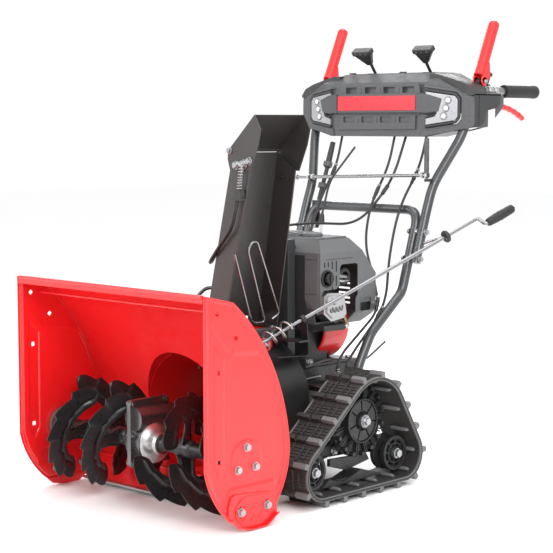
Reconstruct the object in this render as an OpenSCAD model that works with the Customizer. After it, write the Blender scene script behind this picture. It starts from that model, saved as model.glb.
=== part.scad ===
// Two stage snowblower on tracks.
// X runs across the machine, Y from the intake towards the operator, Z up from the floor.
// The origin is on the floor, on the mid plane, straight below the drive axle.

/* [Intake housing] */
// Distance between the outer faces of the two side plates
intake_w = 660; // [640:5:700]
// Height of the top front edge of the housing
intake_h = 544; // [540:1:550]
// Thickness of the side plates
plate_t = 3; // [2:0.5:4]
// Inner radius of the impeller drum
drum_r = 145; // [140:1:147]

/* [Augers and impeller] */
// Outer radius of the auger flights
auger_r = 137; // [130:1:137]
// Radius of the auger shaft
auger_shaft_r = 12.5; // [11:0.5:13]
// Radius of the impeller shaft
impeller_shaft_r = 10; // [9:0.5:11]
// Outer radius of the impeller blades
impeller_r = 138; // [120:1:140]

/* [Chute] */
// Angle between the chute's mouth and the machine's left side
chute_turn = 12; // [0:1:30]
// Lean of the chute towards its mouth
chute_lean = 14; // [10:1:16]
// Lean of the deflector's back sheet
deflector_lean = 38; // [30:1:45]

/* [Tracks] */
// Width of each rubber track
track_w = 120; // [100:5:120]
// Number of lugs round each track
lug_count = 17; // [15:1:18]
// Height of the lugs
lug_h = 15; // [10:1:15]

/* [Handles] */
// Radius of the steel frame tubes
tube_r = 12.7; // [11:0.1:12.9]
// Radius of the bright handlebar
bar_r = 11; // [10:0.5:11]
// Radius of the hand grips
grip_r = 18; // [16:0.5:18]

/* [Hidden] */
$fn = 64;

axle_y = 600;              // drive axle, measured from the front edge of the housing
axle_z = 178;
axle_r = 13;
gap = 0.1;                 // running clearance between round parts
half_w = intake_w / 2;
auger_y = 132;
auger_z = 159;
worm_z = 218;              // impeller shaft height
drum_end = 540;
collar_r = 79;             // neck on the drum that carries the chute
outline_a = [-218.5, 135.7, 495.3];   // upper rear arc of the side plate: centre y, z and radius
outline_b = [72, 174, 203];           // lower rear arc
outline_c = [220, 203, 226];          // lower front arc
sheet_in = 1;              // the curved sheet sits this far inside the side plate's edge
sheet_t = 3;

// ---- helpers -------------------------------------------------------------

module placed() translate([0, -axle_y, 0]) children();

// Flat shape drawn in Y and Z, with its near face at x
module yz(x, t) translate([x, 0, 0]) rotate([90, 0, 90]) linear_extrude(t) children();

// Round bar along X, Y or Z, starting at p
module bar_x(p, l, r) translate(p) rotate([0, 90, 0]) cylinder(h = l, r = r);
module bar_y(p, l, r) translate(p) rotate([-90, 0, 0]) cylinder(h = l, r = r);

function unit(v) = v / norm(v);
function arc(c, r, a, b, n) =
    [for (i = [0:n]) [c[0] + r * cos(a + (b - a) * i / n), c[1] + r * sin(a + (b - a) * i / n)]];

// Round bar from p to q
module rod(p, q, r) {
    d = q - p;
    translate(p) rotate([0, acos(d[2] / norm(d)), atan2(d[1], d[0])]) cylinder(h = norm(d), r = r);
}

// Round bar through the points, with a ball at each bend
module bent_bar(p, r) {
    for (i = [0:len(p) - 2]) rod(p[i], p[i + 1], r);
    for (i = [1:len(p) - 2]) translate(p[i]) sphere(r = r + 0.05);
}

// Points with each corner replaced by three, cut back by c
function eased(p, c) = [for (i = [0:len(p) - 1]) each (i == 0 || i == len(p) - 1) ? [p[i]]
    : let (u = unit(p[i] - p[i - 1]), v = unit(p[i + 1] - p[i]))
        [p[i] - u * c, p[i] + (v - u) * c * 0.3, p[i] + v * c]];

module both_sides() { children(); mirror([1, 0, 0]) children(); }

// Hexagon head with a washer, facing +Z
module bolt_head(r) {
    cylinder(h = r * 0.3, r = r * 1.25);
    translate([0, 0, r * 0.3]) cylinder(h = r * 0.8, r = r, $fn = 6);
}

// ---- intake housing ------------------------------------------------------

// Side view of the housing, shrunk by d
function side_outline(d) = concat(
    [[d, outline_c[1] - 44], [d, intake_h - d * 0.9]],
    arc(outline_a, outline_a[2] - d, 51.3, 5.7, 18),
    arc(outline_b, outline_b[2] - d, 3.1, -36, 9),
    [[219 - d * 0.5, 22 + d], [86 + d * 0.5, 22 + d]],
    arc(outline_c, outline_c[2] - d, -130, -167, 6));

// The curved sheet between the side plates: strip t thick, d inside the outline
module sheet_strip(d, t) {
    outer = concat([[0, intake_h - 3]], arc(outline_a, outline_a[2] - d, 51.3, 5.7, 24),
        arc(outline_b, outline_b[2] - d, 3.1, -34, 12), [[208, 14.2]]);
    inner = concat([[0, intake_h - 3 - t]], arc(outline_a, outline_a[2] - d - t, 51.3, 5.7, 24),
        arc(outline_b, outline_b[2] - d - t, 3.1, -34, 12), [[205, 14.2]]);
    polygon(concat(outer, [for (i = [len(inner) - 1:-1:0]) inner[i]]));
}

bearing_bolts = [[132, 191], [103, 143], [160, 143]];
cutter_holes = [[40, 500, 45], [98, 442, 45], [45, 370, 0], [45, 170, 0]];
skid_slots = [[106, 47], [191, 50]];

module slot_2d(p) {
    translate(p) square([9, 18], center = true);
    for (s = [-9, 9]) translate([p[0], p[1] + s]) circle(r = 4.5);
}

module side_plate() {
    difference() {
        union() {
            yz(half_w - 5, plate_t) polygon(side_outline(0));
            yz(half_w - 2.5, 2.5) difference() {
                polygon(side_outline(0.5));
                polygon(side_outline(9));
            }
        }
        bar_x([half_w - 10, auger_y, auger_z], 20, 17);
        for (b = bearing_bolts) bar_x([half_w - 10, b[0], b[1]], 20, 4.1);
        for (c = cutter_holes)
            translate([half_w, c[0], c[1]]) rotate([c[2], 0, 0]) cube([20, 10, 10], center = true);
        for (s = skid_slots) yz(half_w - 10, 20) slot_2d(s);
    }
}

module side_plates() color("red") placed() both_sides() side_plate();

module back_sheet() {
    inner_w = intake_w - 10.2;
    difference() {
        union() {
            yz(-inner_w / 2, inner_w) sheet_strip(sheet_in, sheet_t);
            translate([-inner_w / 2, 0, intake_h - 18]) cube([inner_w, 2, 17]);
        }
        translate([0, 100, worm_z]) rotate([-90, 0, 0]) linear_extrude(400)
            polygon(arc([0, 0], drum_r, 4, 356, 44));
    }
}

module impeller_drum() {
    difference() {
        union() {
            bar_y([0, 180, worm_z], drum_end - 180, drum_r + 3);
            translate([0, chute_y, worm_z]) cylinder(h = 178, r = collar_r);
            translate([0, chute_y, ring_z - 7]) cylinder(h = 6.8, r = 90);
        }
        bar_y([0, 170, worm_z], drum_end - 173, drum_r);
        translate([0, chute_y, worm_z]) cylinder(h = 200, r = collar_r - 3);
        bar_y([0, drum_end - 10, worm_z], 20, 22.2);
        yz(-200, 400) polygon(side_outline(sheet_in - 0.1));
    }
}

module housing_shell() color("red") placed() {
    back_sheet();
    impeller_drum();
}

module scraper_bar() color("silver") placed()
    difference() {
        translate([-318, 190, 9]) cube([636, 46, 5]);
        for (x = [-240, 0, 240]) translate([x, 222, 0]) cylinder(h = 20, r = 4.2);
    }

skid_outline = [[78, 84], [92, 90], [206, 78], [216, 70], [226, 48], [227, 24], [192, 2.5], [186, 0],
    [136, 0], [104, 7], [74, 32], [69, 42], [70, 66]];

module skid_shoes() color("red") placed() both_sides() difference() {
    union() {
        yz(half_w + 0.1, 4) polygon(skid_outline);
        yz(half_w + 0.1, 14) polygon([[227, 24], [192, 2.5], [186, 0], [136, 0], [104, 7], [74, 32],
            [76, 35], [105, 11], [137, 4], [185, 4], [191, 6.5], [225, 27]]);
    }
    for (s = skid_slots) yz(half_w - 10, 30) slot_2d(s);
}

module fasteners() color("gainsboro") placed() both_sides() {
    for (b = bearing_bolts) {
        bar_x([half_w - 16, b[0], b[1]], 17, 4);
        translate([half_w, b[0], b[1]]) rotate([0, 90, 0]) bolt_head(8);
    }
    for (s = skid_slots) {
        bar_x([half_w - 8, s[0], s[1]], 14, 4);
        translate([half_w + 4.1, s[0], s[1]]) rotate([0, 90, 0]) bolt_head(8);
        translate([half_w - 12, s[0], s[1]]) rotate([0, 90, 0]) cylinder(h = 6.9, r = 9);
    }
    for (b = frame_bolt_at) {
        bar_x([leg_x - tube_r - 2, b[0], b[1]], handle_x - leg_x + 2 * tube_r + 4, 4);
        translate([handle_x + tube_r + 0.1, b[0], b[1]]) rotate([0, 90, 0]) bolt_head(7);
        translate([leg_x - tube_r - 0.1, b[0], b[1]]) rotate([0, -90, 0]) bolt_head(7);
    }
}

module shaft_bearings() color("darkgray") placed() {
    both_sides() difference() {
        union() {
            bar_x([half_w - 15, auger_y, auger_z], 10, 44);
            bar_x([half_w - 15, auger_y, auger_z], 14, 16.9);
        }
        bar_x([half_w - 20, auger_y, auger_z], 30, auger_shaft_r + gap / 2);
        for (b = bearing_bolts) bar_x([half_w - 20, b[0], b[1]], 30, 4.1);
    }
    difference() {
        bar_y([0, drum_end - 8, worm_z], 16, 22);
        bar_y([0, drum_end - 20, worm_z], 40, impeller_shaft_r + gap / 2);
    }
}

// ---- augers and gearbox --------------------------------------------------

flight_step = 0.68;        // sideways travel of a flight for each degree of turn
flight_half = 82;          // half the angle covered by one flight
flight_in = 74;

// Serrated flight centred on angle c at x; angles run from the front over the top
module flight(x, c) {
    n = 24;
    points = [for (i = [0:n]) let (w = c - flight_half + 2 * flight_half * i / n,
            s = x - flight_step * (w - c), ro = auger_r - (i % 4) * 3)
        each [[s - 2, -flight_in * cos(w), flight_in * sin(w)], [s + 2, -flight_in * cos(w), flight_in * sin(w)],
            [s + 2, -ro * cos(w), ro * sin(w)], [s - 2, -ro * cos(w), ro * sin(w)]]];
    sides = [for (i = [0:n - 1]) for (k = [0:3]) let (m = (k + 1) % 4)
        each [[4 * i + k, 4 * i + m, 4 * i + 4 + k], [4 * i + m, 4 * i + 4 + m, 4 * i + 4 + k]]];
    caps = [[3, 2, 1, 0], [4 * n, 4 * n + 1, 4 * n + 2, 4 * n + 3]];
    polyhedron(points = points, faces = concat(sides, caps), convexity = 4);
}

// Arm from the hub out to the middle of a flight
module flight_arm(x, c) translate([x, 0, 0]) rotate([-c, 0, 0]) rotate([0, -17, 0])
    translate([-2.5, -104, -22]) cube([5, 92, 44]);

// One side's auger: hub tube with two S shaped pairs of flights
module auger_flights(centres, c) difference() {
    translate([0, auger_y, auger_z]) union() {
        bar_x([50, 0, 0], 254, 17);
        for (x = centres) for (w = [c, c + 180]) {
            flight(x, w);
            flight_arm(x, w);
        }
    }
    bar_x([40, auger_y, auger_z], 280, auger_shaft_r + gap / 2);
}

module auger_left() color("#222222") placed() auger_flights([132, 252], -87);
module auger_right() color("#222222") placed() mirror([1, 0, 0]) auger_flights([90, 215], -5);
module auger_shaft() color("dimgray") placed()
    bar_x([-(half_w - 8), auger_y, auger_z], 2 * (half_w - 8), auger_shaft_r);

module worm_wheel() color("goldenrod") placed() difference() {
    union() {
        bar_x([-8, auger_y, auger_z], 16, 35);
        for (i = [0:19]) translate([0, auger_y, auger_z]) rotate([i * 18, 0, 0])
            translate([-7, -2.4, 30]) cube([14, 4.8, 9.5]);
        bar_x([-14, auger_y, auger_z], 28, 19);
    }
    bar_x([-20, auger_y, auger_z], 40, auger_shaft_r + gap / 2);
}

module auger_gearbox() color("silver") placed() difference() {
    union() {
        bar_x([-24, auger_y, auger_z], 48, 52);
        bar_x([-46, auger_y, auger_z], 92, 26);
        bar_y([0, 84, worm_z], 112, 30);
        bar_y([0, 190, worm_z], 34, 22);
        yz(-6, 12) polygon([[76, 104], [186, 104], [192, 110], [192, 258], [186, 264], [76, 264],
            [70, 258], [70, 110]]);
        for (p = [[78, 112], [78, 180], [78, 256], [184, 112], [184, 256]])
            for (s = [-1, 1]) translate([6 * s, p[0], p[1]]) rotate([0, 90 * s, 0]) bolt_head(6);
    }
    bar_x([-11, auger_y, auger_z], 22, 44);
    bar_x([-17, auger_y, auger_z], 34, 24);
    bar_y([0, 90, worm_z], 100, 22);
    bar_x([-60, auger_y, auger_z], 120, auger_shaft_r + gap / 2);
    bar_y([0, 180, worm_z], 60, impeller_shaft_r + gap / 2);
}

// Shaft with the worm at its front end
module impeller_shaft() color("dimgray") placed() {
    bar_y([0, 96, worm_z], 478, impeller_shaft_r);
    bar_y([0, 104, worm_z], 56, 13);
    translate([0, 106, worm_z]) rotate([-90, 0, 0])
        linear_extrude(height = 52, twist = -360 * 3, slices = 36) translate([3, 0]) circle(r = 14.2, $fn = 12);
}

module impeller() color("dimgray") placed() difference() {
    union() {
        bar_y([0, 392, worm_z], 128, 24);
        for (i = [0:3]) translate([0, 400, worm_z]) rotate([0, 45 + 90 * i, 0]) {
            translate([0, 0, -2]) cube([impeller_r - 8, 112, 4]);
            translate([impeller_r - 12, 0, -2]) cube([4, 112, 26]);
        }
        bar_y([0, 508, worm_z], 4, 92);
    }
    bar_y([0, 380, worm_z], 160, impeller_shaft_r + gap / 2);
}

// ---- belts and drive -----------------------------------------------------

engine_z = 390;            // crankshaft height
pulley_y = 553;

// Grooved pulley on the Y axis, groove bottom radius g and rim radius r
module pulley(z, g, r, bore) translate([0, pulley_y, z]) rotate([-90, 0, 0])
    rotate_extrude() polygon([[bore, 0], [r, 0], [r, 2], [g, 5], [g, 10], [r, 13], [r, 15], [bore, 15]]);

module impeller_pulley() color("gray") placed() pulley(worm_z, 52, 60, impeller_shaft_r + gap / 2);

module engine_pulley() color("gray") placed() {
    pulley(engine_z, 20, 28, 11);
    bar_y([0, pulley_y, engine_z], 88, 12);
}

// Flat-sided loop round both pulleys
belt_tilt = asin(32 / (engine_z - worm_z));
module belt_loop(d) polygon(concat(arc([0, engine_z], 20.5 + d, belt_tilt, 180 - belt_tilt, 16),
    arc([0, worm_z], 52.5 + d, 180 - belt_tilt, 360 + belt_tilt, 24)));

module drive_belt() color("#1a1a1a") placed() translate([0, pulley_y + 9.5, 0]) rotate([90, 0, 0])
    linear_extrude(4) difference() { belt_loop(7); belt_loop(0); }

// Idler arm: swings its roller against the slack side of the belt
tension_x = -76;
tension_z = 236;
module belt_tensioner() color("gray") placed() difference() {
    union() {
        bar_y([tension_x, 563, tension_z], 6, 11);
        translate([tension_x - 6, 563, tension_z]) cube([12, 6, 46]);
        bar_y([tension_x, 552, tension_z + 46], 17, 5);
        bar_y([tension_x, 554, tension_z + 46], 8, 12);
    }
    bar_y([tension_x, 550, tension_z], 30, 5.05);
}

module belt_cover() color("#2b2b2b") placed() difference() {
    translate([-72, 545.2, 295]) cube([144, 27, 328]);
    translate([-70, 547.2, 290]) cube([140, 30, 331]);
}

module chassis_box() color("#262626") placed() {
    difference() {
        union() {
            translate([-92, 541, 108]) cube([184, 4, 222]);
            translate([-92, 545, 108]) cube([184, 247, 186]);
        }
        translate([-89, 545, 111]) cube([178, 244, 180]);
        bar_y([0, 530, worm_z], 30, 23);
        translate([-88.9, 550, 280]) cube([150, 30, 30]);
        bar_x([-100, axle_y, axle_z], 200, axle_r + gap / 2);
    }
    bar_y([tension_x, 545, tension_z], 26, 5);
    both_sides() translate([92, 590, 236]) cube([108, 90, 6]);
    both_sides() translate([92, 545, 262]) cube([3, 60, 22]);
}

module transmission_case() color("darkgray") placed() difference() {
    translate([-70, 586, 130]) cube([140, 110, 96]);
    bar_x([-80, axle_y, axle_z], 160, axle_r + gap / 2);
}

// ---- tracks --------------------------------------------------------------

track_out = 325;                              // outer edge of each track
track_in = track_out - track_w;
belt_t = 8;
front_c = [406, 80];
rear_c = [717, 80];
drive_c = [axle_y, axle_z];
end_r = 65;
top_r = 114.5;
// Angles where the belt leaves each wheel, from the wheel centres and radii
front_d = drive_c - front_c;
front_a = atan2(front_d[1], front_d[0]) + asin((top_r - end_r) / norm(front_d)) + 90;
rear_d = drive_c - rear_c;
rear_a = atan2(rear_d[1], rear_d[0]) - asin((top_r - end_r) / norm(rear_d)) - 90;

function loop_outline(d) = concat(arc(rear_c, end_r - d, -90, rear_a, 14),
    arc(drive_c, top_r - d, rear_a, front_a, 14), arc(front_c, end_r - d, front_a, 270, 14));

// Length of each straight and arc in turn, starting at the bottom of the front wheel
run_bottom = rear_c[0] - front_c[0];
run_rear = sqrt(rear_d * rear_d - pow(top_r - end_r, 2));
run_front = sqrt(front_d * front_d - pow(top_r - end_r, 2));
turn_len = PI / 180;
runs = [run_bottom, (rear_a + 90) * end_r * turn_len, run_rear, (front_a - rear_a) * top_r * turn_len,
    run_front, (270 - front_a) * end_r * turn_len];
function run_end(k) = k < 0 ? 0 : run_end(k - 1) + runs[k];
belt_len = run_end(5);

// Point and outward angle at distance s along the belt's outer face
function on_arc(c, r, a) = [c[0] + r * cos(a), c[1] + r * sin(a), a];
function slide_on(p, d) = [p[0] - d * sin(p[2]), p[1] + d * cos(p[2]), p[2]];
function belt_at(s) =
    s < run_end(0) ? [front_c[0] + s, front_c[1] - end_r, -90]
    : s < run_end(1) ? on_arc(rear_c, end_r, -90 + (s - run_end(0)) / end_r / turn_len)
    : s < run_end(2) ? slide_on(on_arc(rear_c, end_r, rear_a), s - run_end(1))
    : s < run_end(3) ? on_arc(drive_c, top_r, rear_a + (s - run_end(2)) / top_r / turn_len)
    : s < run_end(4) ? slide_on(on_arc(drive_c, top_r, front_a), s - run_end(3))
    : on_arc(front_c, end_r, front_a + (s - run_end(4)) / end_r / turn_len);

// Rectangles across the belt at every lug, from a to b outside the belt's face and w wide
module belt_row(a, b, w) for (i = [0:lug_count - 1]) {
    p = belt_at((i * belt_len / lug_count + 7) % belt_len);
    translate([p[0], p[1]]) rotate(p[2]) translate([a, -w / 2]) square([b - a, w]);
}

module track_belt() {
    yz(track_in, track_w) {
        difference() {
            polygon(loop_outline(0));
            polygon(loop_outline(belt_t));
        }
        belt_row(-4, lug_h, 16);
    }
    yz(track_in + 30, 60) belt_row(-belt_t - 9, 3 - belt_t, 10);
}

module left_track() color("#1c1c1c") placed() track_belt();
module right_track() color("#1c1c1c") placed() mirror([1, 0, 0]) track_belt();

// Drive wheel: hub with five windows, spokes and rim, on its own axle half
module drive_wheel() {
    difference() {
        union() {
            bar_x([244, drive_c[0], drive_c[1]], 34, 56);
            bar_x([250, drive_c[0], drive_c[1]], 6, 86);
            bar_x([236, drive_c[0], drive_c[1]], 50, 22);
            for (i = [0:14]) translate([244, drive_c[0], drive_c[1]]) rotate([i * 24, 0, 0])
                translate([0, -2, 50]) cube([24, 4, 42]);
        }
        for (i = [0:4]) translate([270, drive_c[0], drive_c[1]]) rotate([i * 72, 0, 0])
            translate([0, -14, 28]) cube([20, 28, 20]);
    }
    bar_x([1, drive_c[0], drive_c[1]], 240, axle_r);
    translate([286, drive_c[0], drive_c[1]]) rotate([0, 90, 0]) bolt_head(11);
}

module left_drive_wheel() color("#2a2a2a") placed() drive_wheel();
module right_drive_wheel() color("#2a2a2a") placed() mirror([1, 0, 0]) drive_wheel();

module idler(c) difference() {
    union() {
        bar_x([240, c[0], c[1]], 14, 44);
        bar_x([272, c[0], c[1]], 14, 44);
        bar_x([236, c[0], c[1]], 54, 20);
    }
    bar_x([230, c[0], c[1]], 80, 8.05);
}

module left_front_idler() color("#2a2a2a") placed() idler(front_c);
module left_rear_idler() color("#2a2a2a") placed() idler(rear_c);
module right_front_idler() color("#2a2a2a") placed() mirror([1, 0, 0]) idler(front_c);
module right_rear_idler() color("#2a2a2a") placed() mirror([1, 0, 0]) idler(rear_c);

// Bent beam carrying the idler pins, bolted to an arm from the chassis
module track_frame() {
    for (c = [front_c, rear_c]) {
        bar_x([222, c[0], c[1]], 74, 8);
        translate([290.2, c[0], c[1]]) rotate([0, 90, 0]) bolt_head(10);
    }
    yz(222, 10)
        polygon([[392, 68], [402, 98], [440, 104], [520, 122], [590, 122], [640, 112], [700, 100],
            [726, 96], [730, 70], [712, 62], [690, 78], [620, 88], [520, 92], [430, 76], [414, 62]]);
    translate([92, 556, 112]) cube([132, 30, 8]);
    translate([92, 640, 112]) cube([132, 20, 8]);
    for (p = [[540, 106], [566, 108], [640, 100]])
        translate([232, p[0], p[1]]) rotate([0, 90, 0]) bolt_head(8);
}

module track_frames() color("#222222") placed() both_sides() track_frame();

// ---- engine --------------------------------------------------------------

module engine_block() color("darkgray") placed() {
    difference() {
        translate([-70, 614, 294]) cube([140, 84, 150]);
        bar_y([0, 600, engine_z], 50, 12.05);
    }
    translate([-20, 620, 440]) cube([110, 70, 70]);
    for (x = [-96:16:80]) if (x < -20 || x > 70) translate([x, 626, 380]) cube([4, 60, 50]);
    translate([70, 640, 400]) cube([28, 40, 34]);
}

module engine_cover() color("#4a4c4e") placed() difference() {
    intersection() {
        translate([-147, 585, 395]) cube([294, 220, 227]);
        translate([0, 820, 0]) rotate([90, 0, 0]) linear_extrude(240)
            polygon([[-147, 430], [-110, 395], [110, 395], [147, 430], [147, 590], [124, 622],
                [-124, 622], [-147, 590]]);
        yz(-150, 300) polygon([[585, 460], [600, 395], [786, 395], [805, 420], [805, 526], [720, 622],
            [606, 622], [585, 589]]);
    }
    intersection() {
        translate([-144, 588, 380]) cube([288, 214, 239]);
        yz(-150, 300) polygon([[588, 460], [602, 380], [784, 380], [802, 420], [802, 525], [718, 619],
            [608, 619], [588, 588]]);
        translate([0, 820, 0]) rotate([90, 0, 0]) linear_extrude(240)
            polygon([[-144, 431], [-106, 380], [106, 380], [144, 431], [144, 589], [122, 619],
                [-122, 619], [-144, 589]]);
    }
    bar_y([0, 575, engine_z], 30, 40);
    translate([140, 660, 462]) cube([20, 48, 92]);
    translate([140, 596, 412]) cube([20, 100, 88]);
    bar_y([128, 596, 456], 100, 35.5);
    for (y = [612, 622, 632, 642]) translate([140, y, 540]) cube([20, 4, 20]);
    bar_x([140, 612, 524], 20, 8.05);
    translate([70, 640, 600]) cylinder(h = 40, r = 20);
    bar_y([0, 790, engine_z + 40], 30, 8);
}

module blower_housing() color("red") placed() difference() {
    bar_y([0, 700, engine_z], 60, 96);
    bar_y([0, 704, engine_z], 52, 92);
    bar_y([0, 690, engine_z], 20, 40);
    bar_y([0, 745, engine_z + 40], 30, 6);
}

module muffler() color("silver") placed() {
    bar_y([128, 600, 456], 84, 34);
    bar_y([128, 684, 456], 8, 12);
    translate([100, 612, 430]) cube([20, 60, 50]);
}

module choke_knob() color("#151515") placed() {
    bar_x([138, 612, 524], 10, 8);
    bar_x([148, 612, 524], 10, 14);
    translate([158, 609, 512]) cube([5, 6, 24]);
}

module fuel_cap() color("#151515") placed() {
    translate([70, 640, 606]) cylinder(h = 18, r = 14);
    translate([70, 640, 624]) cylinder(h = 12, r = 26);
}

module recoil_handle() color("#151515") placed() {
    bar_y([0, 756.5, engine_z + 40], 54, 5);
    translate([-30, 810.5, engine_z + 34]) cube([60, 12, 12]);
}

// ---- handle frame --------------------------------------------------------

leg_x = 188;
handle_x = leg_x + 2 * tube_r + 0.6;
bar_x0 = 268;
bar_z = 1002;
grip_end = 1348;

leg_path = [[leg_x, 675.5, 244.8], [leg_x, 686, 295], [leg_x, 736, 376], [leg_x, 862, 473],
    [leg_x, 921, 655], [leg_x - 10, 929, 679], [leg_x - 34, 931.6, 687]];
frame_bolt_at = [[889, 560], [912, 630]];

module lower_frame() color("#5a5d60") placed() {
    difference() {
        bent_bar(concat(leg_path, [for (i = [6:-1:0]) [-leg_path[i][0], leg_path[i][1], leg_path[i][2]]]),
            tube_r);
        both_sides() for (b = frame_bolt_at) bar_x([leg_x - 30, b[0], b[1]], 60, 4.05);
    }
}

handle_path = [[handle_x, 886, 550], [handle_x, 932, 690], [handle_x, 957, 753], [262, 1020, 884],
    [267, 1044, 950]];

module upper_handles() color("#5a5d60") placed() both_sides() difference() {
    bent_bar(handle_path, tube_r);
    for (b = frame_bolt_at) bar_x([handle_x - 30, b[0], b[1]], 60, 4.05);
}

bar_path = [[267.1, 1044.7, 952.6], [bar_x0, 1058, bar_z], [bar_x0, 1342, bar_z]];

module handlebars() color("gainsboro") placed() both_sides() bent_bar(eased(bar_path, 14), bar_r);

module hand_grips() color("#151515") placed() both_sides() difference() {
    union() {
        bar_y([bar_x0, 1196, bar_z], grip_end - 1196, 16);
        bar_y([bar_x0, 1196, bar_z], 14, grip_r);
        bar_y([bar_x0, grip_end - 16, bar_z], 16, grip_r);
    }
    bar_y([bar_x0, 1190, bar_z], 152.2, bar_r + 0.05);
}

// ---- console -------------------------------------------------------------

// Front, side and top outlines of the console; their common solid is its shape
module console_solid(d) intersection() {
    translate([0, 1300, 0]) rotate([90, 0, 0]) linear_extrude(400)
        polygon([[-158 + d, 1052 - d], [158 - d, 1052 - d], [284 - d, 992 - d], [302 - d, 990 - d],
            [302 - d, 908 + d], [276 - d, 903 + d], [172 - d, 880 + d], [-172 + d, 880 + d],
            [-276 + d, 903 + d], [-302 + d, 908 + d], [-302 + d, 990 - d], [-284 + d, 992 - d]]);
    translate([0, 0, 800]) linear_extrude(400)
        polygon([[-150, 983 + d], [150, 983 + d], [276 - d, 1013 + d], [290 - d, 1050],
            [302 - d, 1150], [-302 + d, 1150], [-290 + d, 1050], [-276 + d, 1013 + d], [-150, 983 + d]]);
    yz(-400, 800) polygon([[985 + d, 880], [983 + d, 950], [996 + d, 1027], [1035 + d, 1052 - d],
        [1150, 1052 - d], [1150, 960], [1098, 912], [1076, 880]]);
}

module console_body() color("#55585b") placed() difference() {
    console_solid(0);
    intersection() {
        console_solid(3);
        translate([-400, 900, 860]) cube([800, 300, 187]);
    }
    translate([-160, 1000, 870]) cube([320, 200, 60]);
    translate([-298, 1090, 870]) cube([596, 100, 117]);
    both_sides() translate([248, 1030, 940]) cube([44, 130, 80]);
    both_sides() translate([234, 1140, 940]) cube([60, 20, 80]);
    both_sides() translate([242, 1000, 876]) cube([43, 86, 66]);
    both_sides() translate([90, 1066, 1030]) cube([16, 90, 40]);
}

module console_badge() color("red") placed()
    translate([-137, 979.6, 951]) cube([274, 3.2, 39]);

// C-shaped lamp bezels with three round lenses, on the swept faces
module lamp() translate([213, 998, 958]) rotate([0, 0, 13.4]) {
    translate([0, -2.2, 0]) rotate([90, 0, 0]) linear_extrude(6) polygon([[-46, 42], [38, 30],
        [46, 20], [46, -24], [38, -34], [-46, -46], [-46, -30], [-20, -24], [-14, -16], [-14, 14],
        [-20, 22], [-46, 28]]);
    for (i = [-1:1]) bar_y([14, -13, i * 20 - 2], 5, 8);
}

module headlamps() color("gainsboro") placed() both_sides() lamp();

// ---- hand controls -------------------------------------------------------

lever_pivot = [bar_x0, 1088, 1027];
lever_tip = [bar_x0, 1146, 1176];

// Clamps on the handlebar carrying the clutch levers above and the triggers below
module lever_brackets() both_sides() {
    difference() {
        union() {
            bar_y([bar_x0, 1078, bar_z], 20, 15);
            translate([bar_x0 - 5, 1078, 1012]) cube([10, 20, 15]);
            bar_x([bar_x0 - 5, 1088, 1027], 10, 9);
            bar_y([bar_x0, 1118, bar_z], 20, 15);
            for (x = [-12, 7]) translate([bar_x0 + x, 1118, 957]) cube([5, 20, 36]);
        }
        bar_y([bar_x0, 1070, bar_z], 80, bar_r + 0.05);
    }
    bar_x([bar_x0 - 18, 1088, 1027], 36, 4);
    bar_x([bar_x0 - 12, 1128, 966], 24, 4);
}

// Clamp for the throttle lever and the shift levers' cross pin
module lever_pins() {
    difference() {
        union() {
            bar_y([bar_x0, 1144, bar_z], 16, 15);
            translate([bar_x0 - 19, 1146, 998]) cube([6, 12, 18]);
            bar_x([bar_x0 - 19, 1152, 1016], 6, 6);
        }
        bar_y([bar_x0, 1140, bar_z], 40, bar_r + 0.05);
    }
    bar_x([bar_x0 - 34, 1152, 1016], 20, 3);
    bar_x([-140, 1136, 1001], 280, 4);
    both_sides() translate([140, 1128, 995]) cube([4, 16, 52]);
}

// Squeeze lever: two cheeks beside the bracket, joined above the pin, and a round-ended blade
module clutch_lever() difference() {
    union() {
        for (x = [-16, 12]) {
            yz(bar_x0 + x, 4) polygon([[1078, 1022], [1099, 1022], [1112, 1044], [1112, 1060],
                [1092, 1062], [1077, 1034]]);
            bar_x([bar_x0 + x, 1088, 1027], 4, 12);
        }
        rod([bar_x0, 1091, 1052], lever_tip, 15);
        translate(lever_tip) sphere(r = 15.3);
        translate([bar_x0 - 16, 1093, 1044.5]) cube([32, 19, 16]);
    }
    bar_x([bar_x0 - 30, 1088, 1027], 60, 4.05);
}

module auger_clutch_lever() color("red") placed() mirror([1, 0, 0]) clutch_lever();
module drive_clutch_lever() color("red") placed() clutch_lever();

module shift_lever(x) {
    difference() {
        union() {
            bar_x([x - 7, 1136, 1001], 14, 8);
            rod([x, 1136, 1001], [x, 1062, 1096], 4);
        }
        bar_x([x - 20, 1136, 1001], 40, 4.05);
    }
    translate([x, 1060, 1098]) rotate([38, 0, 0]) translate([-23, -12, 0]) cube([66, 25, 28]);
}

module speed_lever() color("#151515") placed() shift_lever(98);
module deflector_lever() color("#151515") placed() mirror([1, 0, 0]) shift_lever(98);

module throttle_lever() color("#151515") placed() difference() {
    union() {
        bar_x([bar_x0 - 28, 1152, 1016], 8.8, 6);
        rod([bar_x0 - 24, 1152, 1018], [bar_x0 - 24, 1166, 1044], 3.5);
        translate([bar_x0 - 24, 1166, 1044]) sphere(r = 6);
    }
    bar_x([bar_x0 - 40, 1152, 1016], 40, 3.05);
}

module trigger() difference() {
    union() {
        bar_x([bar_x0 - 6, 1128, 966], 12, 8);
        yz(bar_x0 - 5.5, 11) polygon(concat(arc([1160, 700], 269, 97, 60, 12),
            arc([1160, 700], 255, 60, 97, 12)));
    }
    bar_x([bar_x0 - 20, 1128, 966], 40, 4.05);
}

module left_trigger() color("red") placed() trigger();
module right_trigger() color("red") placed() mirror([1, 0, 0]) trigger();

// ---- chute ---------------------------------------------------------------

chute_y = 450;
ring_z = 384;
chute_z = 405;
chute_top = 800;
depth_half = 44;
wide_low = 81;
wide_top = 66;
lean_at = tan(chute_lean);

// Draws its children with +X towards the chute's mouth and the chute's axis at the origin
module chute_frame() translate([0, chute_y, 0]) rotate([0, 0, -chute_turn]) children();

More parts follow.
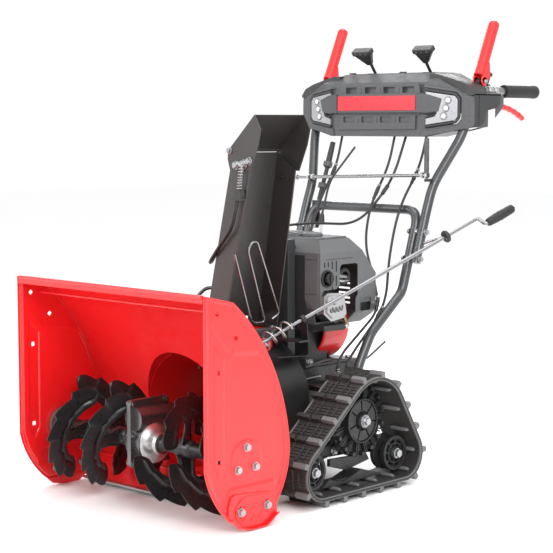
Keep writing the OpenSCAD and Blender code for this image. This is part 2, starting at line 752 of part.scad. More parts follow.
// Side view of the channel: leaning strip from back to front
module channel_side(back, front) rotate([90, 0, 0]) linear_extrude(200, center = true) polygon([
    [back, chute_z], [front, chute_z], [front + lean_at * (chute_top - chute_z), chute_top],
    [back + lean_at * (chute_top + 45 - chute_z), chute_top + 45],
    [back + lean_at * (chute_top + 45 - chute_z) - 1, chute_top + 45]]);

// Tapered outline of the channel, as seen from its mouth
module channel_front(d) rotate([90, 0, 90]) linear_extrude(500, center = true) polygon([
    [-wide_low + d, chute_z - 1], [wide_low - d, chute_z - 1],
    [wide_top - d, chute_top + 60], [-wide_top + d, chute_top + 60]]);

module chute_body() color("#3a3b3d") placed() chute_frame() {
    difference() {
        union() {
            intersection() {
                channel_side(-depth_half, depth_half);
                channel_front(0);
            }
            translate([0, 0, chute_z - 6]) cylinder(h = 8, r = 90);
        }
        intersection() {
            channel_side(-depth_half + 2.5, depth_half + 5);
            channel_front(2.5);
            translate([0, 0, chute_z + 2]) translate([-200, -200, 0]) cube([500, 400, 600]);
        }
        translate([0, 0, chute_z - 20]) cylinder(h = 40, r = 70);
    }
    difference() {
        translate([0, 0, ring_z]) cylinder(h = chute_z - ring_z - 5, r = 88);
        translate([0, 0, ring_z - 1]) cylinder(h = chute_z - ring_z, r = collar_r + gap / 2);
    }
}

hinge_e = -depth_half + lean_at * (chute_top + 45 - chute_z) - 6;
hinge_z = chute_top + 50;

module hood_side(d) rotate([90, 0, 0]) linear_extrude(160, center = true) polygon([
    [hinge_e - 6 + d, hinge_z], [170 + d, 937], [196 + d * 4, 902], [184 + d * 4, 864],
    [150 + d * 4, 800 - d], [62 - d, 803 - d], [hinge_e - 8 - d, 830]]);

module deflector() color("#3a3b3d") placed() chute_frame() {
    deflector_hood();
    translate([hinge_e, -76, hinge_z]) rotate([-90, 0, 0]) cylinder(h = 152, r = 4);
}

module deflector_hood() difference() {
    intersection() {
        hood_side(0);
        translate([-200, -73.5, 700]) cube([500, 147, 300]);
    }
    intersection() {
        hood_side(2.5);
        translate([-200, -71, 700]) cube([500, 142, 300]);
    }
    translate([0, -71, 780]) cube([hinge_e + 9, 142, 66]);
}

// Bent wire hoop across the mouth, welded to the channel's front edges
module wire_guard() color("silver") placed() chute_frame() bent_bar([[92, -80, 599], [52, -3, 419],
    [52, 37, 418], [98, -45, 606], [101, -36, 624], [101, -20, 624], [97, -9, 606], [56, 78, 438],
    [50, 60, 425]], 3);

// ---- chute crank ---------------------------------------------------------

crank_p = [124, 445, 395];
crank_e = [290, 916.5, 622.3];
crank_d = unit(crank_e - crank_p);
crank_b = crank_p + crank_d * 658;
crank_arm = [25.5, -2, -14.5];

// Points along a coil round the crank's axis
coil_u = unit(cross(crank_d, [0, 0, 1]));
coil_v = cross(crank_d, coil_u);
function coil_at(i) = crank_p + crank_d * (-40 + i * 80 / 36)
    + 19 * (coil_u * cos(i * 30) + coil_v * sin(i * 30));

module chute_crank() color("silver") placed() {
    bent_bar([crank_p - crank_d * 60, crank_b, crank_b + crank_arm, crank_b + crank_arm + crank_d * 100], 5);
    bent_bar([crank_p - crank_d * 44, for (i = [0:36]) coil_at(i), crank_p + crank_d * 44], 2.4);
}

module crank_grip() color("#151515") placed() difference() {
    start = crank_b + crank_arm + crank_d * 8;
    rod(start, start + crank_d * 88, 12.4);
    rod(start - crank_d * 5, start + crank_d * 120, 5.1);
}

// ---- fixed rods, cables and tool ----------------------------------------

// Bearings that carry the crank: a post on the drum's neck and an eye on the handle
crank_low = crank_p + crank_d * 84;
module crank_supports() difference() {
    union() {
        rod(crank_e - crank_d * 5, crank_e + crank_d * 5, 14);
        rod([handle_x + tube_r + 2, 903, 602], crank_e - [10, 1, 0], 4);
        rod(crank_low - crank_d * 4, crank_low + crank_d * 4, 11);
        rod([crank_low[0], crank_low[1], 374], crank_low - [0, 0, 8], 4.5);
        translate([62, 500, 371.8]) cube([92, 32, 5]);
    }
    rod(crank_p, crank_e + crank_d * 40, 5.05);
}

module brackets() color("#333333") placed() {
    lever_brackets();
    lever_pins();
    crank_supports();
}

module cross_rod() color("silver") placed() {
    rod([206, 942.5, 779], [-262, 942.5, 763], 5);
    both_sides() translate([202, 937.5, 764]) cube([16, 8.5, 4]);
    translate([196, 940.7, 776]) cube([16, 3, 100]);
}

module control_cables() color("#101010") placed() {
    bent_bar([[40, 1012, 885], [40, 985, 800], [40, 905, 690], [44, 880, 590], [104, 848, 505],
        [157, 808, 430], [157, 660, 330], [157, 640, 300], [157, 640, 242.5]], 3.5);
    bent_bar([[150, 1012, 885], [148, 985, 800], [142, 903, 690], [136, 872, 565], [168, 820, 440],
        [168, 690, 330], [168, 662, 300], [168, 650, 243.5]], 3.5);
    bent_bar([[-150, 1012, 885], [-148, 985, 800], [-146, 903, 690], [-160, 820, 440],
        [-160, 690, 330], [-160, 650, 300], [-160, 650, 242.5]], 3.5);
}

// Flexible cable from the console to the bracket on the chute's back
module deflector_cable() color("#101010") placed() {
    bent_bar([[80, 1012, 885], [74, 960, 760], [38, 860, 645], [-14, 702, 655], [-96, 584, 636],
        [-128, 470, 590], [-112, 380, 600], [-60, 348, 650], [0, 352, 700], [20, 352, 722]], 3.5);
}

module clean_out_tool() color("#151515") placed() {
    rod([-184, 1010, 862], [-184, 985, 790], 9);
    rod([-184, 985, 790], [-184, 950, 700], 6);
    translate([-194, 1006, 856]) cube([20, 12, 24]);
}

side_plates();
housing_shell();
scraper_bar();
skid_shoes();
fasteners();
shaft_bearings();
auger_left();
auger_right();
auger_shaft();
worm_wheel();
auger_gearbox();
throttle_lever();
impeller_shaft();
impeller();
impeller_pulley();
engine_pulley();
drive_belt();
belt_tensioner();
belt_cover();
chassis_box();
transmission_case();
left_drive_wheel();
right_drive_wheel();
left_front_idler();
left_rear_idler();
right_front_idler();
right_rear_idler();
left_track();
right_track();
track_frames();
engine_block();
engine_cover();
blower_housing();
muffler();
choke_knob();
fuel_cap();
recoil_handle();
lower_frame();
upper_handles();
handlebars();
hand_grips();
console_body();
console_badge();
headlamps();
auger_clutch_lever();
drive_clutch_lever();
speed_lever();
deflector_lever();
left_trigger();
right_trigger();
chute_body();
deflector();
chute_crank();
crank_grip();
brackets();
wire_guard();
cross_rod();
control_cables();
deflector_cable();
clean_out_tool();
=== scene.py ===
import math

import bpy
import numpy as np
from mathutils import Matrix, Vector
from mathutils.geometry import tessellate_polygon


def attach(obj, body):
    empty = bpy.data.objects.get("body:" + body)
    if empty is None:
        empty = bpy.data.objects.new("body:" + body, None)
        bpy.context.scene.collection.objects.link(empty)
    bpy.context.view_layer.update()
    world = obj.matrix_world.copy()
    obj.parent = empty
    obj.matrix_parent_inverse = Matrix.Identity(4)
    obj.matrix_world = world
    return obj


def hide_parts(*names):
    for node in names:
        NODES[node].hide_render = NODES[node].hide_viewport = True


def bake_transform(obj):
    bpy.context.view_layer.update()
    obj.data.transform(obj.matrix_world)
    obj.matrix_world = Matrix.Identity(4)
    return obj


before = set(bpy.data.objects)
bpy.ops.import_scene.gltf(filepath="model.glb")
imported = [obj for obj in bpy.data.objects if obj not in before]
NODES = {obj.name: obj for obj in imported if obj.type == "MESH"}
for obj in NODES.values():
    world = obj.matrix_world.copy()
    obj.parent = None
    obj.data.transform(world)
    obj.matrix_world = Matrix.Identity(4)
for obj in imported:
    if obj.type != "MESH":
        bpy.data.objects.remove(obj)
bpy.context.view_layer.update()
AXLE_Y = 600.0
AX, AY, AZ = (1, 0, 0), (0, 1, 0), (0, 0, 1)
TO_FRAME = Matrix.Scale(0.001, 4) @ Matrix.Translation((0, -AXLE_Y, 0))
FLIP = Matrix.Scale(-1, 4, AX)


# ---- materials ----


def paint(name, base, rough, metal=0.0, coat=0.0, grain=0.0, grain_scale=900.0, blotch=0.12,
          dark=0.6, wear=0.0, wear_colour=(0.35, 0.35, 0.36), brushed=0.0, dust=0.0):
    """Procedural finish: blotchy colour, uneven roughness, fine bump, worn edges and dust in hollows."""
    mat = bpy.data.materials.new(name)
    mat.use_nodes = True
    tree = mat.node_tree
    nodes, links = tree.nodes, tree.links
    shader = nodes["Principled BSDF"]
    coords = nodes.new("ShaderNodeTexCoord")
    geometry = nodes.new("ShaderNodeNewGeometry")

    def noise(scale, detail, stretch=None):
        n = nodes.new("ShaderNodeTexNoise")
        n.inputs["Scale"].default_value = scale
        n.inputs["Detail"].default_value = detail
        source = coords.outputs["Object"]
        if stretch:
            mapping = nodes.new("ShaderNodeMapping")
            mapping.inputs["Scale"].default_value = stretch
            links.new(source, mapping.inputs["Vector"])
            source = mapping.outputs["Vector"]
        links.new(source, n.inputs["Vector"])
        return n.outputs["Fac"]

    def ramp(value, low, high, a, b):
        r = nodes.new("ShaderNodeMapRange")
        r.inputs["From Min"].default_value = low
        r.inputs["From Max"].default_value = high
        r.inputs["To Min"].default_value = a
        r.inputs["To Max"].default_value = b
        links.new(value, r.inputs["Value"])
        return r.outputs["Result"]

    def mix(factor, a, b):
        m = nodes.new("ShaderNodeMix")
        m.data_type = "RGBA"
        for socket, value in ((m.inputs["A"], a), (m.inputs["B"], b)):
            if isinstance(value, tuple):
                socket.default_value = (*value, 1)
            else:
                links.new(value, socket)
        links.new(factor, m.inputs["Factor"])
        return m.outputs["Result"]

    colour = mix(ramp(noise(14, 4), 0.35, 0.65, 0, blotch), base, tuple(c * dark for c in base))
    if dust:
        colour = mix(ramp(geometry.outputs["Pointiness"], 0.5, 0.44, 0, dust), colour, (0.2, 0.18, 0.16))
    rough_out = ramp(noise(40, 5), 0.3, 0.7, max(rough - 0.06, 0.05), rough + 0.08)
    if wear:
        edge = ramp(geometry.outputs["Pointiness"], 0.52, 0.6, 0, 1)
        speckle = ramp(noise(160, 6), 0.42, 0.62, 0, wear)
        both = nodes.new("ShaderNodeMath")
        both.operation = "MULTIPLY"
        links.new(edge, both.inputs[0])
        links.new(speckle, both.inputs[1])
        colour = mix(both.outputs[0], colour, wear_colour)
    links.new(colour, shader.inputs["Base Color"])
    links.new(rough_out, shader.inputs["Roughness"])
    shader.inputs["Metallic"].default_value = metal
    shader.inputs["Coat Weight"].default_value = coat
    shader.inputs["Coat Roughness"].default_value = 0.12
    bump = nodes.new("ShaderNodeBump")
    bump.inputs["Distance"].default_value = 0.0004
    bump.inputs["Strength"].default_value = max(grain, 0.04)
    stretch = (brushed, 1, 1) if brushed else None
    links.new(noise(grain_scale, 3, stretch), bump.inputs["Height"])
    links.new(bump.outputs["Normal"], shader.inputs["Normal"])
    return mat


RED = paint("red_enamel", (0.83, 0.012, 0.014), 0.34, coat=0.45, grain=0.05, grain_scale=260, blotch=0.2,
            dark=0.88)
LEVER_RED = paint("lever_red", (0.86, 0.012, 0.012), 0.38, coat=0.3, grain=0.08, grain_scale=900, dark=0.85)
BADGE = paint("badge_red", (0.72, 0.006, 0.022), 0.3, coat=0.5, dark=0.85)
AUGER = paint("auger_enamel", (0.02, 0.02, 0.021), 0.3, metal=0.35, grain=0.06, grain_scale=500, wear=0.3,
              wear_colour=(0.25, 0.25, 0.25))
STEEL_DARK = paint("chute_enamel", (0.062, 0.059, 0.058), 0.36, metal=0.4, grain=0.03, grain_scale=420)
FRAME = paint("frame_enamel", (0.085, 0.088, 0.092), 0.3, metal=0.6, grain=0.05, grain_scale=500, wear=0.25)
BLACK_PAINT = paint("black_enamel", (0.018, 0.018, 0.019), 0.4, metal=0.2, grain=0.06, grain_scale=500,
                    wear=0.1)
RUBBER = paint("track_rubber", (0.024, 0.023, 0.023), 0.62, grain=0.5, grain_scale=700, blotch=0.5,
               dark=0.5, wear=0.35, wear_colour=(0.14, 0.13, 0.13), dust=0.25)
# lighter rubber: painted highlight on the track's edge bands, outer lug ends and inner guide bars
RUBBER_HIGHLIGHT = paint("track_painted_highlight", (0.16, 0.16, 0.162), 0.6, grain=0.3, grain_scale=600, blotch=0.3)
BELT = paint("belt_rubber", (0.02, 0.02, 0.02), 0.7, grain=0.4)
GRIP = paint("grip_rubber", (0.016, 0.016, 0.017), 0.55, grain=0.5, grain_scale=1500)
BLACK = paint("black_plastic", (0.017, 0.017, 0.018), 0.42, grain=0.3, grain_scale=1200, wear=0.2,
              wear_colour=(0.12, 0.12, 0.12))
COVER = paint("cover_plastic", (0.125, 0.128, 0.132), 0.42, grain=0.3, grain_scale=1400, blotch=0.2)
GREY = paint("grey_plastic", (0.07, 0.073, 0.077), 0.42, grain=0.35, grain_scale=1400, blotch=0.2, wear=0.2,
             wear_colour=(0.25, 0.25, 0.26))
GREY_DARK = paint("dark_plastic", (0.028, 0.029, 0.031), 0.48, grain=0.35, grain_scale=1400)
CHROME = paint("bright_steel", (0.3, 0.3, 0.31), 0.27, metal=1.0, grain=0.05, grain_scale=300, dark=0.8)
ZINC = paint("zinc", (0.46, 0.47, 0.48), 0.3, metal=1.0, grain=0.2, grain_scale=700, dark=0.7)
SILVER = paint("pressed_steel", (0.5, 0.5, 0.5), 0.32, metal=0.95, grain=0.15, grain_scale=300, dark=0.75)
STEEL_BOX = paint("gearbox_steel", (0.17, 0.165, 0.165), 0.3, metal=0.9, grain=0.15, grain_scale=400,
                  blotch=0.2, dark=0.7)
CAST = paint("cast_metal", (0.33, 0.33, 0.335), 0.42, metal=0.85, grain=0.6, grain_scale=420, blotch=0.3,
             dark=0.6)
SHAFT = paint("machined_steel", (0.2, 0.2, 0.205), 0.3, metal=1.0, grain=0.3, grain_scale=400, brushed=8)
WORN = paint("worn_steel", (0.55, 0.55, 0.56), 0.36, metal=0.9, grain=0.3, grain_scale=300, brushed=0.05,
             dark=0.6)
BRONZE = paint("bronze", (0.5, 0.33, 0.13), 0.35, metal=1.0, grain=0.2)
IRON = paint("pulley_iron", (0.12, 0.12, 0.12), 0.45, metal=0.9, grain=0.4)
LAMP = paint("lamp_silver", (0.4, 0.41, 0.43), 0.3, metal=0.6, coat=0.5, grain=0.05, dark=0.85)
LENS = paint("lamp_lens", (0.75, 0.76, 0.78), 0.12, metal=0.2, coat=1.0, dark=0.9)
CABLE = paint("cable_sheath", (0.013, 0.013, 0.014), 0.38, grain=0.15, grain_scale=900)


# ---- mesh helpers ----


def place(p, axis=AZ, up=AY):
    """Matrix that puts local Z along axis and local Y near up, at p."""
    z = Vector(axis).normalized()
    x = Vector(up).cross(z)
    if x.length < 1e-4:
        x = Vector(AX).cross(z)
    x.normalize()
    m = Matrix((x, z.cross(x), z)).transposed().to_4x4()
    m.translation = Vector(p)
    return m


def yz(x, y=0.0, z=0.0):
    """Local X and Y become the machine's Y and Z; local Z points along +X from x."""
    return place((x, y, z), AX, AZ)


def xz(y, x=0.0, z=0.0):
    """Local X and Y become the machine's X and Z; local Z points towards the intake from y."""
    return place((x, y, z), (0, -1, 0), AZ)


def move(x, y, z):
    return Matrix.Translation((x, y, z))


def turn(degrees, axis="Z"):
    return Matrix.Rotation(math.radians(degrees), 4, axis)


def polar(r, degrees):
    a = math.radians(degrees)
    return r * math.cos(a), r * math.sin(a)


def circle(r, n=48, at=(0, 0)):
    return [(at[0] + x, at[1] + y) for x, y in (polar(r, 360 * k / n) for k in range(n))]


def arc(c, r, a, b, n):
    return [(c[0] + x, c[1] + y) for x, y in (polar(r, a + (b - a) * i / n) for i in range(n + 1))]


def rounded(w, h, r, n=5, at=(0, 0)):
    """Rounded rectangle outline."""
    out = []
    for sx, sy, a in ((1, 1, 0), (-1, 1, 90), (-1, -1, 180), (1, -1, 270)):
        out += arc((at[0] + sx * (w / 2 - r), at[1] + sy * (h / 2 - r)), r, a, a + 90, n)
    return out


def fillet(points, cut, steps=6):
    """Points with each inner corner rounded, starting up to cut before it."""
    pts = [Vector(p) for p in points]
    out = [pts[0]]
    for a, b, c in zip(pts, pts[1:], pts[2:]):
        d = min(cut, (a - b).length * 0.48, (c - b).length * 0.48)
        p, q = b + (a - b).normalized() * d, b + (c - b).normalized() * d
        for i in range(steps + 1):
            t = i / steps
            out.append(p * (1 - t) ** 2 + b * 2 * t * (1 - t) + q * t * t)
    return out + [pts[-1]]


def tube(points, r, n=16, closed=False, taper=None, flat=None):
    """Round bar swept along the points. taper(t) scales it, flat squashes its second axis."""
    pts = [Vector(p) for p in points]
    keep = [pts[0]]
    for p in pts[1:]:
        if (p - keep[-1]).length > 1e-4:
            keep.append(p)
    pts = keep
    count = len(pts)
    tangents = []
    for i in range(count):
        a = pts[(i - 1) % count] if closed or i else pts[0]
        b = pts[(i + 1) % count] if closed or i < count - 1 else pts[-1]
        tangents.append((b - a).normalized())
    side = tangents[0].orthogonal().normalized()
    verts, faces = [], []
    for i, (p, t) in enumerate(zip(pts, tangents)):
        side = (side - t * side.dot(t)).normalized()
        other = t.cross(side)
        s = r * (taper(i / (count - 1)) if taper else 1)
        for k in range(n):
            a = 2 * math.pi * k / n
            verts.append(p + side * s * math.cos(a) + other * s * math.sin(a) * (flat or 1))
    rings = count if closed else count - 1
    for i in range(rings):
        j = (i + 1) % count
        for k in range(n):
            m = (k + 1) % n
            faces.append((i * n + k, i * n + m, j * n + m, j * n + k))
    if not closed:
        faces += [tuple(range(n - 1, -1, -1)), tuple((count - 1) * n + k for k in range(n))]
    return verts, faces


def lathe(profile, n=40, closed=False):
    """Turned shape round local Z from (z, r) points; r of 0 closes to a point, closed joins last to first."""
    verts, faces, rings = [], [], []
    for z, r in profile:
        if r < 1e-6:
            rings.append([len(verts)])
            verts.append(Vector((0, 0, z)))
        else:
            rings.append(list(range(len(verts), len(verts) + n)))
            verts += [Vector((*polar(r, 360 * k / n), z)) for k in range(n)]
    pairs = list(zip(rings, rings[1:])) + ([(rings[-1], rings[0])] if closed else [])
    for a, b in pairs:
        for k in range(n):
            m = (k + 1) % n
            quad = [a[k % len(a)], a[m % len(a)], b[m % len(b)], b[k % len(b)]]
            face = tuple(dict.fromkeys(quad))
            if len(face) > 2:
                faces.append(face)
    if not closed:
        if len(rings[0]) > 1:
            faces.append(tuple(reversed(rings[0])))
        if len(rings[-1]) > 1:
            faces.append(tuple(rings[-1]))
    return verts, faces


def ring(profile, n):
    """Turned shape with a bore: the profile is closed."""
    return lathe(profile, n, closed=True)


def sleeve(z0, z1, bore, r, n):
    return ring([(z0, bore), (z0, r), (z1, r), (z1, bore)], n)


def turning(loop):
    """Twice the signed area of a loop."""
    return sum(a.x * b.y - b.x * a.y for a, b in zip(loop, loop[1:] + loop[:1]))


def prism(outline, h, holes=()):
    """Flat outline, with any holes, raised h along local Z."""
    loops = [[Vector((p[0], p[1], 0)) for p in loop] for loop in (outline, *holes)]
    flat = [v for loop in loops for v in loop]
    count = len(flat)
    if holes:
        caps = []
        for t in tessellate_polygon(loops):
            a, b, c = (flat[i] for i in t)
            caps.append(tuple(t) if (b - a).cross(c - a).z > 0 else tuple(reversed(t)))
    else:
        caps = [tuple(range(count)) if turning(loops[0]) > 0 else tuple(range(count - 1, -1, -1))]
    verts = flat + [v + Vector((0, 0, h)) for v in flat]
    faces = [tuple(reversed(f)) for f in caps] + [tuple(i + count for i in f) for f in caps]
    start = 0
    for number, loop in enumerate(loops):
        size = len(loop)
        outward = (turning(loop) > 0) == (number == 0)
        for k in range(size):
            a, b = start + k, start + (k + 1) % size
            face = (a, b, b + count, a + count)
            faces.append(face if outward else tuple(reversed(face)))
        start += size
    return verts, faces


def lift(mesh, h):
    return [v + Vector((0, 0, h)) for v in mesh[0]], mesh[1]


def block(lo, hi):
    (a, b, c), (d, e, f) = lo, hi
    return lift(prism([(a, b), (d, b), (d, e), (a, e)], f - c), c)


def between(a, b):
    """Solid between two loops with the same number of points."""
    n = len(a)
    caps = [tuple(range(n)), tuple(range(2 * n - 1, n - 1, -1))]
    sides = [((k + 1) % n, k, n + k, n + (k + 1) % n) for k in range(n)]
    return [Vector(p) for p in a + b], caps + sides


def grid_sheet(rows, thick):
    """Sheet from rows of points, with thickness along its own normals, closed all round."""
    pts = np.array([[tuple(p) for p in row] for row in rows], float)
    du = np.gradient(pts, axis=0)
    dv = np.gradient(pts, axis=1)
    normal = np.cross(du, dv)
    normal /= np.linalg.norm(normal, axis=2, keepdims=True) + 1e-12
    return shell(pts - normal * thick / 2, pts + normal * thick / 2)


def shell(low, high):
    """Closed solid between two grids of points of the same size."""
    nu, nv = low.shape[:2]
    verts = [Vector(p) for p in low.reshape(-1, 3)] + [Vector(p) for p in high.reshape(-1, 3)]
    total = nu * nv
    faces = []
    for i in range(nu - 1):
        for j in range(nv - 1):
            a = i * nv + j
            faces.append((a, a + 1, a + nv + 1, a + nv))
            faces.append((total + a, total + a + nv, total + a + nv + 1, total + a + 1))
    rim = list(range(nv)) + [i * nv + nv - 1 for i in range(1, nu)]
    rim += [(nu - 1) * nv + j for j in range(nv - 2, -1, -1)] + [i * nv for i in range(nu - 2, 0, -1)]
    for a, b in zip(rim, rim[1:] + rim[:1]):
        faces.append((b, a, total + a, total + b))
    return verts, faces


class Piece:
    """Gathers closed shells, each with its own material, into one object."""

    def __init__(self):
        self.verts, self.faces, self.index, self.mats = [], [], [], []

    def add(self, mesh, mat, at=None, mirror=False):
        verts, faces = mesh
        if mat not in self.mats:
            self.mats.append(mat)
        base = at or Matrix()
        for m in (base, FLIP @ base) if mirror else (base,):
            start = len(self.verts)
            flip = m.determinant() < 0
            self.verts += [m @ Vector(v) for v in verts]
            self.faces += [tuple(start + i for i in (reversed(f) if flip else f)) for f in faces]
            self.index += [self.mats.index(mat)] * len(faces)
        return self

    def pair(self, mesh, mat, at=None):
        """Adds the shell and its mirror image on the other side."""
        return self.add(mesh, mat, at, True)

    def object(self, name, flip=False):
        mesh = bpy.data.meshes.new(name)
        m = TO_FRAME @ FLIP if flip else TO_FRAME
        faces = [tuple(reversed(f)) for f in self.faces] if flip else self.faces
        mesh.from_pydata([m @ v for v in self.verts], [], faces)
        for mat in self.mats:
            mesh.materials.append(mat)
        mesh.polygons.foreach_set("material_index", self.index)
        obj = bpy.data.objects.new(name, mesh)
        link(obj)
        return obj

    def done(self, name, slot, replaced=(), bevel=0.0, segments=2, angle=34, flip=False, body="machine"):
        obj = self.object(name, flip)
        obj.data.validate()
        obj.data.shade_smooth()
        soften(obj, bevel, segments, angle)
        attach(obj, body)
        stand_for(replaced)
        return obj


def link(obj):
    bpy.context.scene.collection.objects.link(obj)


def stand_for(replaced):
    """Hides the CAD nodes that the object replaces."""
    if replaced:
        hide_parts(*replaced)


def soften(obj, bevel, segments=2, angle=34):
    """Rounds sharp edges by bevel millimetres and keeps flat faces flat to look at."""
    if bevel:
        mod = obj.modifiers.new("bevel", "BEVEL")
        mod.width = bevel * 0.001
        mod.segments = segments
        mod.limit_method = "ANGLE"
        mod.angle_limit = math.radians(angle)
        mod.use_clamp_overlap = True
    else:
        obj.data.set_sharp_from_angle(angle=math.radians(angle))
    mod = obj.modifiers.new("normals", "WEIGHTED_NORMAL")
    mod.keep_sharp = True


def combine(base, tool, operation="DIFFERENCE"):
    """Boolean of two objects, applied for good; other modifiers wait and the tool is removed."""
    waiting = list(base.modifiers)
    for other in waiting:
        other.show_viewport = False
    mod = base.modifiers.new("combine", "BOOLEAN")
    mod.object, mod.operation, mod.solver = tool, operation, "EXACT"
    bpy.context.view_layer.update()
    depsgraph = bpy.context.evaluated_depsgraph_get()
    result = bpy.data.meshes.new_from_object(base.evaluated_get(depsgraph))
    base.modifiers.remove(mod)
    base.data = result
    bpy.data.objects.remove(tool)
    for other in waiting:
        other.show_viewport = True


def bolt(r):
    """Hexagon bolt head on a washer, facing local Z: two closed shells."""
    washer = lathe([(0, r * 1.25), (r * 0.26, r * 1.25), (r * 0.3, r * 1.2), (r * 0.3, 0)], 24)
    return washer, lift(prism(circle(r, 6), r * 0.74), r * 0.3)


def add_bolt(piece, p, axis, r, mat=ZINC):
    for mesh in bolt(r):
        piece.add(mesh, mat, place(p, axis))


def spiral(centre, radius, turns, length, axis, n=20):
    m = place(centre, axis)
    return [m @ Vector((*polar(radius, 360 * i / n), -length / 2 + length * i / (turns * n)))
            for i in range(int(turns * n) + 1)]


def resample(points, step, closed=True):
    pts = [np.array(p, float) for p in points]
    if closed:
        pts.append(pts[0])
    lengths = [np.linalg.norm(b - a) for a, b in zip(pts, pts[1:])]
    total = sum(lengths)
    count = max(int(round(total / step)), 4)
    marks = np.cumsum([0] + lengths)
    s = np.linspace(0, total, count + 1)[: count if closed else count + 1]
    arr = np.array(pts)
    return np.stack([np.interp(s, marks, arr[:, k]) for k in range(arr.shape[1])], axis=1)


def inside_by(points, polygon):
    """Distance from each point to the polygon's edge, positive inside."""
    poly = np.array(polygon, float)
    a, b = poly, np.roll(poly, -1, axis=0)
    p = points.reshape(-1, 1, 2)
    d = b - a
    t = np.clip(((p - a) * d).sum(2) / (d * d).sum(1), 0, 1)
    dist = np.linalg.norm(p - (a + t[..., None] * d), axis=2).min(1)
    x, y = p[..., 0], p[..., 1]
    level = (b[:, 0] - a[:, 0]) * (y - a[:, 1]) / (b[:, 1] - a[:, 1] + 1e-12) + a[:, 0]
    crossed = ((a[:, 1] > y) != (b[:, 1] > y)) & (x < level)
    odd = crossed.sum(1) % 2 == 1
    return np.where(odd, dist, -dist).reshape(points.shape[:-1])


def ease(v, low, high):
    t = np.clip((v - low) / (high - low), 0, 1)
    return t * t * (3 - 2 * t)


# ---- intake housing ----

AUGER_Y, AUGER_Z = 132.0, 159.0
DRUM_Z = 218.0
OUTLINE = ([(0, 159), (0, 544)] + arc((-218.5, 135.7), 495.3, 51.3, 5.7, 40)
           + arc((72, 174), 203, 3.1, -36, 20) + [(219, 22), (86, 22)] + arc((220, 203), 226, -130, -167,
                                                                             12))
SUNK_PANEL = [(13, 532), (23, 530), (23, 483), (35, 459), (76, 414), (108, 404), (166, 401), (188, 387),
              (210, 350), (238, 277), (254, 212), (256, 154), (246, 104), (236, 85), (218, 103), (77, 104),
              (56, 67), (30, 105), (13, 155)]
FRONT_PANEL = [(29, 432), (63, 399), (62, 158), (45, 129), (29, 160)]
CUTTER_HOLES = [(40, 500, 45), (98, 442, 45), (45, 370, 0), (45, 170, 0)]
BEARING_BOLTS = [(132, 191), (103, 143), (160, 143)]
SKID_BOLTS = [(106, 47), (191, 50)]
HANDLE_BOLTS = [(889, 560), (912, 630)]


def side_plate():
    """Pressed plate: rolled rim, sunk main panel, raised front strip and a round boss for the bearing."""
    rim = resample(OUTLINE, 5.0)
    spine = np.clip((rim[:, 1] - 215) / 215, 0, 1)
    core = np.stack([95 - 10 * spine, 215 + 215 * spine], axis=1)
    away = rim - core
    core = core + 6 * away / np.linalg.norm(away, axis=1, keepdims=True)
    length = np.linalg.norm(rim - core, axis=1)
    steps = [0, 1, 2.2, 3.6, 5.2, 6.8, 8.4, 10, 12]
    share = np.linspace(0, 1, 54)[1:]
    rows = [rim + (core - rim) * (d / length)[:, None] for d in steps]
    rows += [rim + (core - rim) * ((12 + (length - 12) * s) / length)[:, None] for s in share]
    flat = np.array(rows)
    depth = inside_by(flat, OUTLINE)
    bead = 2.2 * (1 - ease(np.abs(depth - 4.5), 0.5, 5.0)) - 0.8 * (1 - ease(depth, 0, 1.6))
    height = 328 + 2.4 * (1 - ease(inside_by(flat, SUNK_PANEL), -3.0, 2.2)) + bead
    height += 2.6 * ease(inside_by(flat, FRONT_PANEL), -0.5, 3.5)
    middle = np.hypot(flat[..., 0] - AUGER_Y, flat[..., 1] - AUGER_Z)
    height += 1.4 * (1 - ease(middle, 47, 53))
    count = flat.shape[1]
    verts, faces = [], []
    for offset in (0.0, 2.6):
        for row, h in zip(flat, height - offset):
            verts += [Vector((x, p[0], p[1])) for p, x in zip(row, h)]
    half = len(verts) // 2
    for i in range(len(rows) - 1):
        for j in range(count):
            k = (j + 1) % count
            a, b, c, d = i * count + j, i * count + k, (i + 1) * count + k, (i + 1) * count + j
            faces.append((a, d, c, b))
            faces.append((half + a, half + b, half + c, half + d))
    last = (len(rows) - 1) * count
    faces.append(tuple(last + j for j in range(count - 1, -1, -1)))
    faces.append(tuple(half + last + j for j in range(count)))
    for j in range(count):
        k = (j + 1) % count
        faces.append((j, k, half + k, half + j))
    return verts, faces


holes = Piece()
for s in (-1, 1):
    for y, z, tilt in CUTTER_HOLES:
        spot = yz(s * 328, y, z) @ turn(tilt)
        holes.add(block((-5, -5, -15), (5, 5, 15)), RED, spot)
plates = Piece().pair(side_plate(), RED).done("housing_side_plates", "red_paint", ["side_plates"])
combine(plates, holes.object("holes"))

lip = Piece()
for y, z, r, n, flat in ((3, 541, 4.2, 14, 1), (63, 500, 3.2, 12, 0.8), (236, 68, 5, 12, 1)):
    reach = 322 if y == 3 else 318
    lip.add(tube([(-reach, y, z), (reach, y, z)], r, n, flat=flat), RED)
rim = [(x, 268, z) for x, z in circle(146.5, 72, (0, DRUM_Z))]
lip.add(tube(rim, 2.4, 8, closed=True), RED)
lip.done("housing_ribs", "red_paint")

